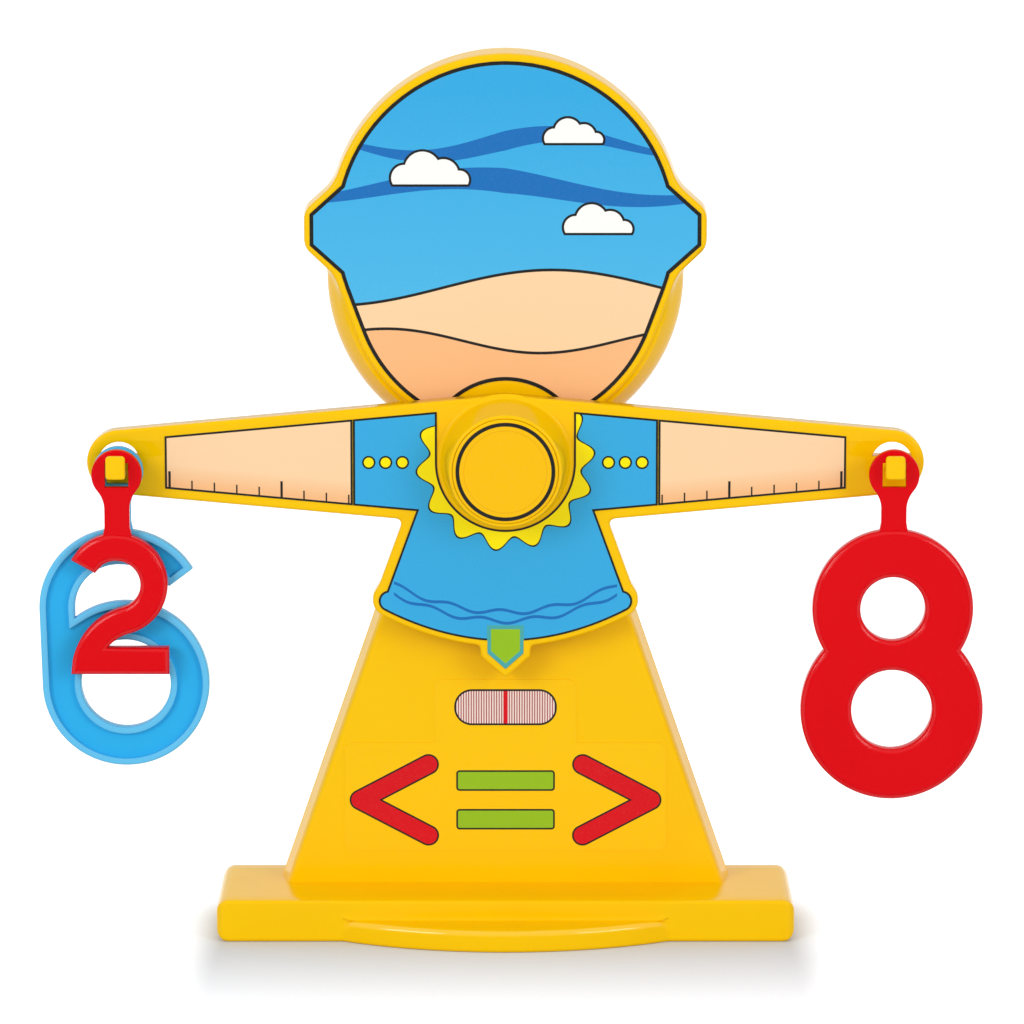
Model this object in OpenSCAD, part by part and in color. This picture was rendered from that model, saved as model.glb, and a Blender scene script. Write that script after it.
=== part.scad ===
// Number balance toy: a figure-shaped stand carries a tilting beam with a hook at each end,
// and hollow numbers, as heavy as the value they show, hang from the hooks.
// The object stands on z = 0 with x to the right, y to the back and z up.
// Pieces are drawn in the front view (x right, y up, z towards the viewer) and stood up by upright().

/* [Base] */
// Width of the base
base_w = 260; // [220:1:300]
// Depth of the base from front to back
base_d = 70; // [60:1:90]
// Height of the base
base_h = 19; // [16:0.5:26]
// Radius of the rounded ends of the base
base_end_r = 5.5; // [4:0.5:7]
// Rounding of the front and back edges of the base
base_edge = 1.6; // [0.8:0.1:2.2]
// How far the curved toe stands out in front
toe_out = 20; // [14:1:26]
// Width of the curved toe where it leaves the base
toe_w = 146; // [120:1:170]
// Height of the toe
toe_h = 10; // [8:0.5:13]
// Thickness of the bottom plate
plate_t = 2.2; // [1.6:0.1:3]

/* [Stand] */
// Height of the pivot above the floor
pivot_h = 215.5; // [205:0.5:230]
// Front width of the post where it meets the base
post_w = 198; // [180:1:206]
// Front width of the post at the height of the pivot
post_neck_w = 62; // [54:1:76]
// Depth of the front shell
front_d = 17; // [15:0.5:20]
// Depth of the back shell
back_d = 16; // [14:0.5:18]
// How much each side grows from the front face to the parting line
draft = 3; // [2:0.2:4]
// Radius of the head at the parting line
head_r = 80; // [74:0.5:84]
// Height of the lower head centre above the pivot
head_low = 80.5; // [78:0.5:84]
// Height of the upper head centre above the pivot
head_high = 102; // [99:0.5:108]
// Radius of the lower part of the head's front face
face_r = 71.5; // [68:0.5:74]
// Rounding of the front edge of the head
head_edge = 2; // [1:0.2:4]
// Distance over the tips of both ears
ear_span = 181; // [176:1:188]
// Height of the tip of an ear
ear_h = 17; // [12:0.5:22]
// How far the edges of an ear slope for each millimetre to its tip
ear_slope = 0.9; // [0.7:0.05:1.1]
// Height of the middle of the ears above the pivot
ear_up = 102.5; // [98:0.5:106]
// Wall of the moulded shells
wall = 2.4; // [1.8:0.1:3]

/* [Beam] */
// Distance from the pivot to the hook of an arm
arm_reach = 172.5; // [165:0.5:180]
// Radius of an arm at its end
arm_tip_r = 14.4; // [13.4:0.1:16]
// Radius of the beam around the pivot
hub_r = 30; // [28:0.5:33]
// Depth of the beam
beam_d = 10; // [8.5:0.5:12]
// Space between the stand and the beam
beam_gap = 6; // [5:0.5:8]
// Wall of the beam
beam_wall = 2.2; // [1.8:0.1:2.8]
// Rounding of the front edge of the beam
beam_edge = 1.4; // [0.8:0.1:1.8]
// Width of the torso under the arms
torso_top_w = 90; // [84:1:96]
// Width of the torso above the hem
torso_low_w = 113; // [106:1:118]
// Width over the rounded ends of the hem
hem_w = 119; // [114:1:126]
// Radius of the ends of the hem
hem_r = 7.5; // [6:0.5:9]
// Drop of the ends of the hem below the pivot
hem_drop = 63; // [60:0.5:68]
// How far the middle of the hem hangs below its ends
hem_sag = 13.5; // [10:0.5:16]
// Width of the pointer
pointer_w = 22.4; // [18:0.2:26]
// Length of the point of the pointer
pointer_point = 10; // [8:0.5:12]
// Distance from the pivot to the tip of the pointer
pointer_reach = 98.3; // [95:0.1:102]
// Tilt of the beam at its stops, each way
tilt = 12; // [9:0.5:13]

/* [Hub] */
// How far the hub stands out of the beam
boss_h = 24.5; // [20:0.5:28]
// Radius of the hub at its front
boss_top_r = 24.5; // [23.5:0.1:26]
// Radius of the hub cap
cap_r = 23.4; // [22.4:0.1:23.5]
// Thickness of the hub cap
cap_t = 2.4; // [2:0.1:3]
// Radius of the pivot axle
axle_r = 3; // [2.5:0.1:3.5]
// Radial clearance of the beam on the axle
running = 0.05; // [0.03:0.01:0.1]

/* [Hooks] */
// Width of a hook
hook_w = 8.6; // [7.6:0.1:9.4]
// Height of the neck of a hook
hook_h = 6; // [5.4:0.1:6.4]
// Drop of the middle of the hooks below the pivot
hook_drop = 2; // [1:0.1:5]
// Room for numbers between the arm and the lip of a hook
hook_throat = 22.5; // [22:0.5:26]
// Thickness of the lip of a hook
hook_lip_t = 3; // [2.4:0.1:4]
// How far the lip rises above the neck
hook_lip_rise = 4.4; // [4:0.1:4.8]
// Radius of the half-moon hole above a hook
hole_r = 9.2; // [8:0.1:10]

/* [Numbers] */
// Thickness of a number
number_t = 8; // [7:0.1:8.4]
// Width of the rim around the hollow side of a number
rim_w = 3; // [2.4:0.1:3.4]
// Rounding of the plain side of a number
number_edge = 1.8; // [0.8:0.1:2.2]
// Rounding of the rim on the hollow side of a number
rim_edge = 1; // [0.4:0.1:1.2]
// Thickness of the stem and eye
eye_t = 5; // [4:0.1:6]
// Radius of the eye
eye_r = 11.2; // [10.6:0.1:12.4]
// Width of the slot in the eye
slot_w = 10.4; // [10:0.1:11.4]
// Height of the slot in the eye
slot_h = 11; // [10.8:0.1:12]
// Width of the stem
stem_w = 11.2; // [9:0.1:13]
// Fillet between the eye and the stem
stem_fillet = 13; // [8:0.5:16]
// Clearance of a hanging number on its hook
hang = 0.3; // [0.2:0.05:0.5]
// Gap between the front number and the lip of its hook
front_gap = 3; // [2:0.1:3.5]
// Gap between two numbers on one hook
between = 1; // [0.6:0.1:1.4]
// Width of the strokes of the two
two_stroke = 12.1; // [10:0.1:14]
// Floor of the two, which sets its weight
two_floor = 2.12; // [1.4:0.01:3]
// Floor of the six, which sets its weight
six_floor = 5.45; // [4.4:0.01:6]
// Floor of the eight, which sets its weight
eight_floor = 5.63; // [4.4:0.01:6]

/* [Labels] */
// Thickness of the printed labels
label_t = 0.3; // [0.2:0.05:0.5]
// Bare edge around the printed labels
label_edge = 4.5; // [3.5:0.1:6]
// Half the width of the shirt label on the arms
sleeve_x = 68; // [60:1:76]
// Distance from the hook to the near end of an arm label
arm_label_gap = 20.5; // [18:0.5:28]
// Width of the stem of the dial label
dial_w = 64; // [54:1:70]
// Width of the foot of the dial label
dial_foot_w = 146; // [134:1:150]

/* [Hidden] */
$fn = 96;
hull_fn = 40;
edge_steps = 4;
cut = 1;

yellow = "#fdc400";
red = "#e30b14";
blue = "#2f9fe0";

// Fasteners
screw_r = 1.5;
screw_head_r = 3;
screw_head_t = 2;
screw_play = 0.05;
screw_end = 3;
retaining_length = 8;
retaining_head = 1.6;
hole_play = 0.3;
post_r = 4.5;
washer_t = 1;
washer_play = 0.2;
seat_play = 0.02;

// Stand, measured in the front view
stand_d = front_d + back_d;
slope = (post_w - post_neck_w) / 2 / (pivot_h - base_h);
post_top = pivot_h + head_low - head_r * 0.6;
head_front_r = head_r - draft / 3;
axle_boss_r = 9;
axle_boss_h = beam_gap - washer_t - hang - label_t;
axle_back = -stand_d + wall + cut;
bolt_x = post_w * 0.36;
bolt_h = 16;
bolt_post_r = 5;
bolt_tip = 2;
screw_spots = [
    [post_w * 0.39, base_h + 24], [-post_w * 0.39, base_h + 24],
    [post_w * 0.23, pivot_h - 90], [-post_w * 0.23, pivot_h - 90],
    [head_r * 0.7, pivot_h + ear_up], [-head_r * 0.7, pivot_h + ear_up],
    [0, pivot_h + head_high + head_r * 0.66]
];

// Base
toe_r = (pow(toe_w / 2, 2) + pow(toe_out, 2)) / (2 * toe_out);
plate_play = 0.3;
base_screw_x = base_w / 2 - 24;
base_screw_out = base_d / 2 - 14;
rim_h = 4;
rim_t = 2;

// Beam, measured from the pivot
face = beam_gap + beam_d;
boss_front = face + boss_h;
boss_in_r = cap_r - 2;
boss_foot_r = hub_r - 0.7;
sleeve_r = axle_r + 3.2;
sleeve_front = boss_front - 4.5;
cap_seat = 1.2;
stop_r = 3.5;
stop_at = 45;
stop_x = stop_at * sin(tilt) + stop_r + hang;
arm_slope = asin((hub_r - arm_tip_r) / arm_reach);
neck_r = hook_w / 2;
neck_low = hook_h - neck_r;
rib_t = 1.8;

// Numbers, measured from the middle of the hook
eye_y = neck_r + hang - slot_h / 2;
front_row = face + hook_throat - front_gap - number_t;
back_row = front_row - between - number_t;
eye_out = (number_t - eye_t) / 2;

// Shared shapes

// Stands the front view up on its base, with the viewer on the -y side.
module upright() {
    rotate([90, 0, 0]) children();
}

function arc(cx, cy, r, a0, a1, steps = edge_steps) =
    [for (i = [0:steps]) let (a = a0 + (a1 - a0) * i / steps) [cx + r * cos(a), cy + r * sin(a)]];

// A round disc of height h whose front edge is rounded.
module puck(r, h, edge) {
    rotate_extrude() polygon(concat([[0, 0], [r, 0]], arc(r - edge, h - edge, edge, 0, 90), [[0, h]]));
}

// The outline of both arms: a circle at the hub, one at each end, and their outer tangents.
module arms_outline(inset) {
    hub = hub_r - inset;
    tip = arm_tip_r - inset;
    a = 90 - arm_slope;
    polygon(concat(
        arc(-arm_reach, 0, tip, 180 + a, 180 - a, 24), arc(0, 0, hub, 180 - a, a),
        arc(arm_reach, 0, tip, a, -a, 24), arc(0, 0, hub, -a, a - 180)
    ));
}

module rounded_box(w, h, r) {
    square([w - 2 * r, h], center = true);
    square([w, h - 2 * r], center = true);
    for (x = [-1, 1], y = [-1, 1])
        translate([x * (w / 2 - r), y * (h / 2 - r)]) circle(r);
}

// A pan-head screw along -z, with its head above z = 0.
module screw(length, r = screw_r) {
    translate([0, 0, -length]) cylinder(r = r, h = length);
    rotate_extrude() polygon(concat(
        [[0, 0], [screw_head_r, 0]],
        arc(screw_head_r - screw_head_t / 2, screw_head_t / 2, screw_head_t / 2, 0, 90), [[0, screw_head_t]]
    ));
}

// Base

// The cross section of the base, shrunk by inset on every side.
module base_section(inset) {
    translate([0, base_h / 2])
        rounded_box(base_w - 2 * inset, base_h - 2 * inset, base_end_r - inset / 2);
}

module base_block() {
    hull() for (i = [0:edge_steps]) {
        a = 90 * i / edge_steps;
        linear_extrude(base_d - 2 * base_edge * (1 - sin(a)), center = true)
            base_section(base_edge * (1 - cos(a)), $fn = hull_fn);
    }
}

// The toe: a disc standing on the floor, of which the base covers the back.
module toe(inset) {
    intersection() {
        translate([0, 0, base_d / 2 + toe_out - toe_r]) rotate([-90, 0, 0])
            puck(toe_r - inset, toe_h - inset, base_edge);
        translate([-toe_w, 0, base_d / 2 - base_edge - wall]) cube([2 * toe_w, base_h, toe_w]);
    }
}

module base_screw_spots() {
    for (x = [-1, 1], out = [-1, 1])
        translate([x * base_screw_x, 0, out * base_screw_out]) rotate([-90, 0, 0]) children();
}

module bolt_spots() {
    for (x = [-1, 1]) translate([x * bolt_x, 0, -front_d / 2 - wall / 4]) rotate([-90, 0, 0]) children();
}

// The hollow base, open below, with screw posts and a rim that locates the stand.
module base_shell() {
    rim_w = post_w - 2 * (wall + hole_play + slope * rim_h + wall);
    color(yellow) upright() difference() {
        union() {
            difference() {
                union() {
                    base_block();
                    toe(0);
                }
                translate([0, 0, -base_d / 2 + wall]) linear_extrude(base_d - 2 * wall) base_section(wall);
                translate([-base_w / 2 + wall, -cut, -base_d / 2 + wall])
                    cube([base_w - 2 * wall, base_h / 2, base_d - 2 * wall]);
                translate([0, -cut, 0]) toe(wall);
            }
            base_screw_spots() translate([0, 0, plate_t]) cylinder(r = post_r, h = base_h - plate_t - wall / 2);
            translate([0, base_h - wall / 2, -stand_d / 2]) rotate([-90, 0, 0]) difference() {
                translate([-rim_w / 2, -stand_d / 2 + wall + draft + hole_play, 0])
                    cube([rim_w, stand_d - 2 * (wall + draft + hole_play), rim_h + wall / 2]);
                translate([-rim_w / 2 + rim_t, -stand_d / 2 + wall + draft + hole_play + rim_t, 0])
                    cube([rim_w - 2 * rim_t, stand_d - 2 * (wall + draft + hole_play + rim_t), base_h]);
            }
        }
        bolt_spots() translate([0, 0, base_h]) cylinder(r = bolt_post_r + hole_play, h = 2 * rim_h);
        base_screw_spots() translate([0, 0, -cut]) cylinder(r = screw_r + screw_play, h = base_h - wall + cut);
        bolt_spots() cylinder(r = screw_r + hole_play, h = base_h + cut);
    }
}

// The flat plate that closes the base, with sunk holes for its screws.
module base_plate() {
    inset = wall + plate_play;
    color(yellow) upright() difference() {
        translate([-base_w / 2 + inset, 0, -base_d / 2 + inset])
            cube([base_w - 2 * inset, plate_t, base_d - 2 * inset]);
        base_screw_spots() translate([0, 0, -cut]) cylinder(r = screw_r + hole_play, h = plate_t + 2 * cut);
        base_screw_spots() translate([0, 0, -cut])
            cylinder(r = screw_head_r + hole_play, h = plate_t / 2 + cut);
    }
}

module base_screws() {
    color("silver") upright() base_screw_spots() intersection() {
        translate([0, 0, plate_t / 2]) mirror([0, 0, 1]) screw(base_h - wall - plate_t);
        translate([0, 0, hang]) cylinder(r = post_r, h = base_h);
    }
}

// The bolts that hold the stand down, driven from inside the base.
module stand_bolts() {
    color("silver") upright() bolt_spots()
        translate([0, 0, base_h - wall - seat_play]) mirror([0, 0, 1]) screw(wall + bolt_h - bolt_tip);
}

// Stand

// The outline of the post at one depth, widened by grow on each side.
module post_outline(grow) {
    half_low = post_w / 2 + grow;
    half_top = half_low - slope * (post_top - base_h);
    polygon([[-half_low, base_h], [half_low, base_h], [half_top, post_top], [-half_top, post_top]]);
}

// A slice of the post, thin enough to be one layer of a hull; it lies behind or in front of its depth.
module post_slice(out, grow, behind) {
    translate([0, 0, behind ? out - 0.01 : out]) linear_extrude(0.01) post_outline(grow);
}

// The post between two depths, with its front or back edge rounded.
module post_block(face_out, part_out, face_grow, part_grow, edge) {
    is_front = face_out > part_out;
    away = is_front ? -1 : 1;
    hull() {
        post_slice(part_out, part_grow, !is_front);
        for (i = [0:edge_steps]) {
            a = 90 * i / edge_steps;
            post_slice(face_out + away * edge * (1 - sin(a)), face_grow - edge * (1 - cos(a)), is_front);
        }
    }
}

// The head: one disc profile turned about each of two centres, and drawn together.
module head_block(low_profile, high_profile) {
    hull() {
        translate([0, pivot_h + head_low, 0]) rotate_extrude($fn = 72) polygon(low_profile);
        translate([0, pivot_h + head_high, 0]) rotate_extrude($fn = 72) polygon(high_profile);
    }
}

// How far a hollow, whose inset is above 0, reaches past the joint of the halves.
function past(inset) = inset > 0 ? cut : 0;
// Profiles of the head are radius against distance towards the viewer; front_r is that of the face.
function head_front_profile(inset, front_r) = concat(
    [[0, -front_d - past(inset)], [head_r - inset, -front_d - past(inset)], [head_r - inset, -front_d]],
    arc(front_r - inset - head_edge, -inset - head_edge, head_edge, 0, 90), [[0, -inset]]
);
function head_back_profile(inset) = concat(
    [[0, -stand_d + inset]],
    arc(head_front_r - inset - head_edge, -stand_d + inset + head_edge, head_edge, -90, 0),
    [[head_r - inset, -front_d], [head_r - inset, -front_d + past(inset)], [0, -front_d + past(inset)]]
);

module head_front(inset) {
    head_block(head_front_profile(inset, face_r), head_front_profile(inset, head_front_r));
}

module head_back(inset) {
    head_block(head_back_profile(inset), head_back_profile(inset));
}

// Both ears, shrunk by inset: a band across the head that narrows to its tips.
module ears_outline(inset) {
    tip = ear_span / 2 - inset;
    root = ear_span / 3;
    skew = sqrt(1 + ear_slope * ear_slope);
    high = ear_h / 2 + ear_slope * (ear_span / 2 - root) - skew * inset;
    end = high - ear_slope * (tip - root);
    translate([0, pivot_h + ear_up]) polygon([
        [-tip, end], [-root, high], [root, high], [tip, end],
        [tip, -end], [root, -high], [-root, -high], [-tip, -end]
    ]);
}

module ears(inset, part_out, front_out) {
    translate([0, 0, part_out]) linear_extrude(front_out - part_out - head_edge / 2) ears_outline(inset);
    translate([0, 0, part_out]) linear_extrude(front_out - part_out) ears_outline(inset + head_edge / 2);
}

module screw_spots() {
    for (spot = screw_spots) translate([spot[0], spot[1], 0]) children();
}

module stand_front_shell() {
    color(yellow) upright() difference() {
        union() {
            difference() {
                union() {
                    post_block(0, -front_d, 0, draft, head_edge / 2);
                    head_front(0);
                    ears(0, -front_d, 0);
                }
                translate([0, -cut, 0]) post_block(-wall, -front_d - cut, -wall, draft - wall, head_edge / 2);
                head_front(wall);
                ears(wall, -front_d - cut, -wall);
            }
            translate([0, pivot_h, -front_d]) cylinder(r = axle_boss_r, h = front_d + axle_boss_h);
            translate([0, pivot_h - stop_at, -wall]) cylinder(r = stop_r, h = wall + face - beam_wall - 2);
            screw_spots() translate([0, 0, -front_d]) cylinder(r = post_r, h = front_d - wall / 2);
            bolt_spots() translate([0, 0, base_h]) cylinder(r = bolt_post_r, h = bolt_h);
            for (x = [-1, 1])
                translate([x * bolt_x - rib_t / 2, base_h, -front_d / 2])
                    cube([rib_t, bolt_h, front_d / 2 - wall / 2]);
        }
        translate([0, pivot_h, -front_d - cut]) cylinder(r = axle_r + seat_play, h = front_d + beam_gap + cut);
        screw_spots() translate([0, 0, -front_d - cut])
            cylinder(r = screw_r + screw_play, h = front_d - wall - screw_r + cut);
        bolt_spots() cylinder(r = screw_r + screw_play, h = base_h + bolt_h - bolt_tip / 2);
    }
}

module stand_back_shell() {
    color(yellow) upright() difference() {
        union() {
            difference() {
                union() {
                    post_block(-stand_d, -front_d, 0, draft, head_edge / 2);
                    head_back(0);
                }
                translate([0, -cut, 0])
                    post_block(-stand_d + wall, -front_d + cut, -wall, draft - wall, head_edge / 2);
                head_back(wall);
            }
            translate([0, pivot_h, -stand_d + wall / 2]) cylinder(r = axle_boss_r, h = back_d - wall / 2);
            screw_spots() translate([0, 0, -stand_d + wall / 2]) cylinder(r = post_r, h = back_d - wall / 2);
        }
        translate([0, pivot_h, axle_back - hang]) cylinder(r = axle_r + seat_play, h = stand_d);
        screw_spots() translate([0, 0, -stand_d - cut]) {
            cylinder(r = screw_r + hole_play, h = stand_d);
            cylinder(r = screw_head_r + hole_play, h = screw_head_t + wall + cut);
        }
    }
}

module stand_screws() {
    color("silver") upright() screw_spots()
        translate([0, 0, -stand_d + screw_head_t + wall]) mirror([0, 0, 1])
            screw(stand_d - 3 * wall - screw_head_t - screw_end);
}

// Pivot

module pivot_axle() {
    color("silver") upright() translate([0, pivot_h, 0]) difference() {
        translate([0, 0, axle_back]) cylinder(r = axle_r, h = sleeve_front + hang - axle_back);
        translate([0, 0, sleeve_front - retaining_length - cut])
            cylinder(r = screw_r + screw_play, h = retaining_length + 2 * cut + hang);
    }
}

module ring(r, bore, t) {
    difference() {
        cylinder(r = r, h = t);
        translate([0, 0, -cut]) cylinder(r = bore, h = t + 2 * cut);
    }
}

module thrust_washer() {
    color("white") upright() translate([0, pivot_h, axle_boss_h])
        ring(sleeve_r + 1.5, axle_r + washer_play, washer_t);
}

module retaining_washer() {
    color("silver") upright() translate([0, pivot_h, sleeve_front + hang])
        ring(sleeve_r + 1, screw_r + washer_play, washer_t);
}

module retaining_screw() {
    color("silver") upright() translate([0, pivot_h, sleeve_front + hang + washer_t]) intersection() {
        screw(retaining_length);
        translate([0, 0, -retaining_length]) cylinder(r = screw_head_r, h = retaining_length + retaining_head);
    }
}

// Beam

module torso_outline(inset) {
    polygon([
        [-torso_top_w / 2 + inset, -hub_r * 0.6], [torso_top_w / 2 - inset, -hub_r * 0.6],
        [torso_top_w / 2 - inset, -hub_r * 0.8], [torso_low_w / 2 - inset, -hem_drop + hem_r],
        [torso_low_w / 2 - inset - hem_r, -hem_drop - hem_r / 2],
        [-torso_low_w / 2 + inset + hem_r, -hem_drop - hem_r / 2],
        [-torso_low_w / 2 + inset, -hem_drop + hem_r], [-torso_top_w / 2 + inset, -hub_r * 0.8]
    ]);
}

// The curved hem: discs strung along a shallow arc and drawn together.
module hem(r, h, edge) {
    reach = hem_w / 2 - hem_r;
    hull() for (t = [-3:3])
        translate([t / 3 * reach, -hem_drop - hem_sag * (1 - t * t / 9), 0]) puck(r, h, edge, $fn = hull_fn);
}

module pointer_outline(inset) {
    polygon([
        [-pointer_w / 2 + inset, -hem_drop], [pointer_w / 2 - inset, -hem_drop],
        [pointer_w / 2 - inset, -pointer_reach + pointer_point + inset / 3], [0, -pointer_reach + inset * 1.4],
        [-pointer_w / 2 + inset, -pointer_reach + pointer_point + inset / 3]
    ]);
}

// A flat plate of the torso or pointer with its front edge cut back.
module plank(edge) {
    hull() {
        linear_extrude(beam_d - edge) children(0);
        linear_extrude(beam_d) children(1);
    }
}

module arms_blank() {
    hull() {
        puck(hub_r, beam_d, beam_edge, $fn = hull_fn);
        for (x = [-1, 1]) translate([x * arm_reach, 0, 0]) puck(arm_tip_r, beam_d, beam_edge, $fn = hull_fn);
    }
}

// The open back of the beam, inset from its outline by the wall.
module beam_hollow() {
    translate([0, 0, -cut]) linear_extrude(beam_d - beam_wall + cut) {
        arms_outline(beam_wall);
        torso_outline(beam_wall);
        pointer_outline(beam_wall);
    }
    translate([0, 0, -cut]) hem(hem_r - beam_wall, beam_d - beam_wall + cut, 0.1);
}

// The drafted hub that stands out of the beam, with its cap seat and bearing sleeve.
module hub() {
    difference() {
        rotate_extrude() polygon([
            [boss_in_r, beam_d - beam_wall / 2], [boss_foot_r, beam_d - beam_wall / 2],
            [boss_foot_r, beam_d + 0.4],
            [boss_foot_r - 0.9, beam_d + 1.4], [boss_top_r + 0.6, beam_d + boss_h - 0.8],
            [boss_top_r - 0.2, beam_d + boss_h], [boss_in_r, beam_d + boss_h]
        ]);
        translate([0, 0, beam_d + boss_h - cap_seat]) cylinder(r = cap_r + hang / 2, h = boss_h);
    }
    cylinder(r = sleeve_r, h = sleeve_front - beam_gap);
    for (a = [0:60:300]) rotate(a) translate([sleeve_r - 1, -rib_t / 2, 0])
        cube([boss_in_r - sleeve_r + 2, rib_t, beam_d + boss_h / 3]);
}

// A hook: a round-backed neck, hollow below, with a raised lip at its front.
module hook() {
    difference() {
        union() {
            translate([0, 0, beam_d - beam_wall / 2])
                linear_extrude(beam_wall / 2 + hook_throat + hook_lip_t / 2)
                intersection() {
                    circle(neck_r);
                    translate([-hook_w, -neck_low]) square([2 * hook_w, 2 * hook_w]);
                }
            translate([0, 0, beam_d + hook_throat]) linear_extrude(hook_lip_t)
                translate([0, (neck_r + hook_lip_rise - neck_low) / 2])
                    rounded_box(hook_w, neck_r + hook_lip_rise + neck_low, 1.6);
        }
        translate([-neck_r + rib_t, -neck_low - cut, beam_d + 1])
            cube([hook_w - 2 * rib_t, neck_low + cut, hook_throat - 2]);
    }
}

module half_moon() {
    intersection() {
        circle(hole_r);
        translate([-hole_r, neck_r - hook_drop + 0.4]) square([2 * hole_r, 2 * hole_r]);
    }
}

// Ribs behind the face: one along each arm, cross ribs, and the two tilt stops.
module beam_ribs() {
    h = beam_d - beam_wall / 2;
    for (side = [-1, 1]) {
        translate([side > 0 ? boss_in_r : -arm_reach + hole_r + beam_wall / 2, -rib_t / 2, cut])
            cube([arm_reach - hole_r - beam_wall / 2 - boss_in_r, rib_t, h - cut]);
        for (t = [0.35, 0.55, 0.75]) {
            half = (hub_r - (hub_r - arm_tip_r) * t) - beam_wall / 2;
            translate([side * arm_reach * t - rib_t / 2, -half, 2 * cut]) cube([rib_t, 2 * half, h - 2 * cut]);
        }
        translate([side > 0 ? stop_x : -stop_x - rib_t, -stop_at - 9, cut]) cube([rib_t, 18, h - cut]);
    }
}

module beam() {
    color(yellow) upright() translate([0, pivot_h, beam_gap]) difference() {
        union() {
            difference() {
                union() {
                    arms_blank();
                    plank(beam_edge) {
                        torso_outline(0);
                        torso_outline(beam_edge);
                    }
                    hem(hem_r, beam_d, beam_edge);
                    plank(beam_edge) {
                        pointer_outline(0);
                        pointer_outline(beam_edge);
                    }
                }
                beam_hollow();
            }
            beam_ribs();
            hub();
            for (x = [-1, 1]) translate([x * arm_reach, 0, 0]) {
                cylinder(r = hole_r + beam_wall, h = beam_d - beam_wall / 2);
                translate([0, -hook_drop, 0]) hook();
            }
        }
        translate([0, 0, -cut]) cylinder(r = axle_r + running, h = boss_front);
        for (x = [-1, 1]) translate([x * arm_reach, 0, -cut]) linear_extrude(beam_d + 2 * cut) half_moon();
    }
}

// The cap that covers the pivot: a disc with a rounded edge and a plug ring behind it.
module hub_cap() {
    seat = boss_front - cap_seat;
    color(yellow) upright() translate([0, pivot_h, seat]) {
        puck(cap_r, cap_t, cap_t / 3);
        translate([0, 0, -4]) ring(boss_in_r - hang / 2, boss_in_r - 2, 4 + cap_t / 3);
    }
}

// Labels

module label(out) {
    translate([0, 0, out]) linear_extrude(label_t) children();
}

module hub_label() {
    color(yellow) upright() translate([0, pivot_h, 0]) label(boss_front - cap_seat + cap_t) circle(cap_r - 1.2);
}

// The parts of the beam's face between two distances from the pivot, with a bare edge all round.
module arm_strip(from, to) {
    intersection() {
        arms_outline(label_edge);
        translate([from, -hub_r]) square([to - from, 2 * hub_r]);
    }
}

// The shirt with its sleeves, and the long needle printed down to the point of the beam.
module shirt_label() {
    color(blue) upright() translate([0, pivot_h, 0]) label(face) difference() {
        union() {
            arm_strip(-sleeve_x, sleeve_x);
            torso_outline(label_edge);
            hem_panel();
            pointer_outline(label_edge * 0.7);
        }
        hub_clearing(hub_r + 0.6);
    }
}

// The bare face round the hub: round below, and open straight up to the edge of the beam.
module hub_clearing(r) {
    polygon(concat(arc(0, 0, r, 360, 180, 32), [[-r, hub_r], [r, hub_r]]));
}

// The lower edge of the shirt: a strip with rounded ends and a curved bottom, r from the hem's middle line.
module hem_panel() {
    reach = hem_w / 2 - hem_r;
    r = hem_r - label_edge * 0.6;
    lean = atan(2 * hem_sag / reach);
    polygon(concat(
        arc(reach, -hem_drop, r, 90, lean - 90),
        [for (i = [11:-1:-11]) let (t = i / 12, a = atan(2 * hem_sag * t / reach))
            [t * reach + r * sin(a), -hem_drop - hem_sag * (1 - t * t) - r * cos(a)]],
        arc(-reach, -hem_drop, r, -90 - lean, -270)
    ));
}

module left_arm_label() {
    color("#fdd3a0") upright() translate([0, pivot_h, 0]) label(face)
        mirror([1, 0]) arm_strip(sleeve_x + 0.3, arm_reach - arm_label_gap);
}

module right_arm_label() {
    color("#fdd3a0") upright() translate([0, pivot_h, 0]) label(face)
        arm_strip(sleeve_x + 0.3, arm_reach - arm_label_gap);
}

module head_label() {
    edge = label_edge * 0.7;
    high_r = head_front_r - edge;
    low_r = face_r - edge;
    a = asin((low_r - high_r) / (head_high - head_low));
    color(blue) upright() label(0) difference() {
        union() {
            translate([0, pivot_h]) polygon(concat(
                arc(0, head_high, high_r, 180 - a, a, 48), arc(0, head_low, low_r, a, -180 - a, 48)
            ));
            ears_outline(edge);
        }
        translate([0, pivot_h]) circle(hub_r + label_edge);
    }
}

module dial_label() {
    stem_h = pivot_h - pointer_reach - 5 - base_h - 64;
    color(yellow) upright() label(0) {
        translate([0, base_h + 40]) rounded_box(dial_foot_w, 50, 4);
        translate([0, base_h + 60 + stem_h / 2]) rounded_box(dial_w, stem_h + 10, 4);
    }
}

// Numbers, each drawn with the middle of its hook at the origin and its back on z = 0

// The cross section of a stroke, rounded at its front.
function stroke_section(w, t, edge) = concat(
    [[-w / 2, 0], [w / 2, 0]], arc(w / 2 - edge, t - edge, edge, 0, 90),
    arc(-w / 2 + edge, t - edge, edge, 90, 180)
);

// Stations of a curved stroke about (x, y) with mean radius r: each is a point and the direction across it.
function bend(x, y, r, a0, a1, steps, across = 1) =
    [for (i = [0:steps]) let (a = a0 + (a1 - a0) * i / steps, d = [cos(a), sin(a)])
        [[x, y] + r * d, across * d]];

// A stroke: its cross section carried through the stations.
module stroke(stations, section) {
    n = len(section);
    last = len(stations) - 1;
    polyhedron(
        [for (s = stations, p = section) [each (s[0] + p[0] * s[1]), p[1]]],
        concat(
            [[for (i = [0:n - 1]) i], [for (i = [n - 1:-1:0]) last * n + i]],
            [for (k = [0:last - 1], i = [0:n - 1]) let (j = (i + 1) % n)
                each [[k * n + i, k * n + n + i, k * n + n + j], [k * n + i, k * n + n + j, k * n + j]]]
        )
    );
}

function square_section(w, z0, z1) = [[-w / 2, z0], [w / 2, z0], [w / 2, z1], [-w / 2, z1]];

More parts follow.
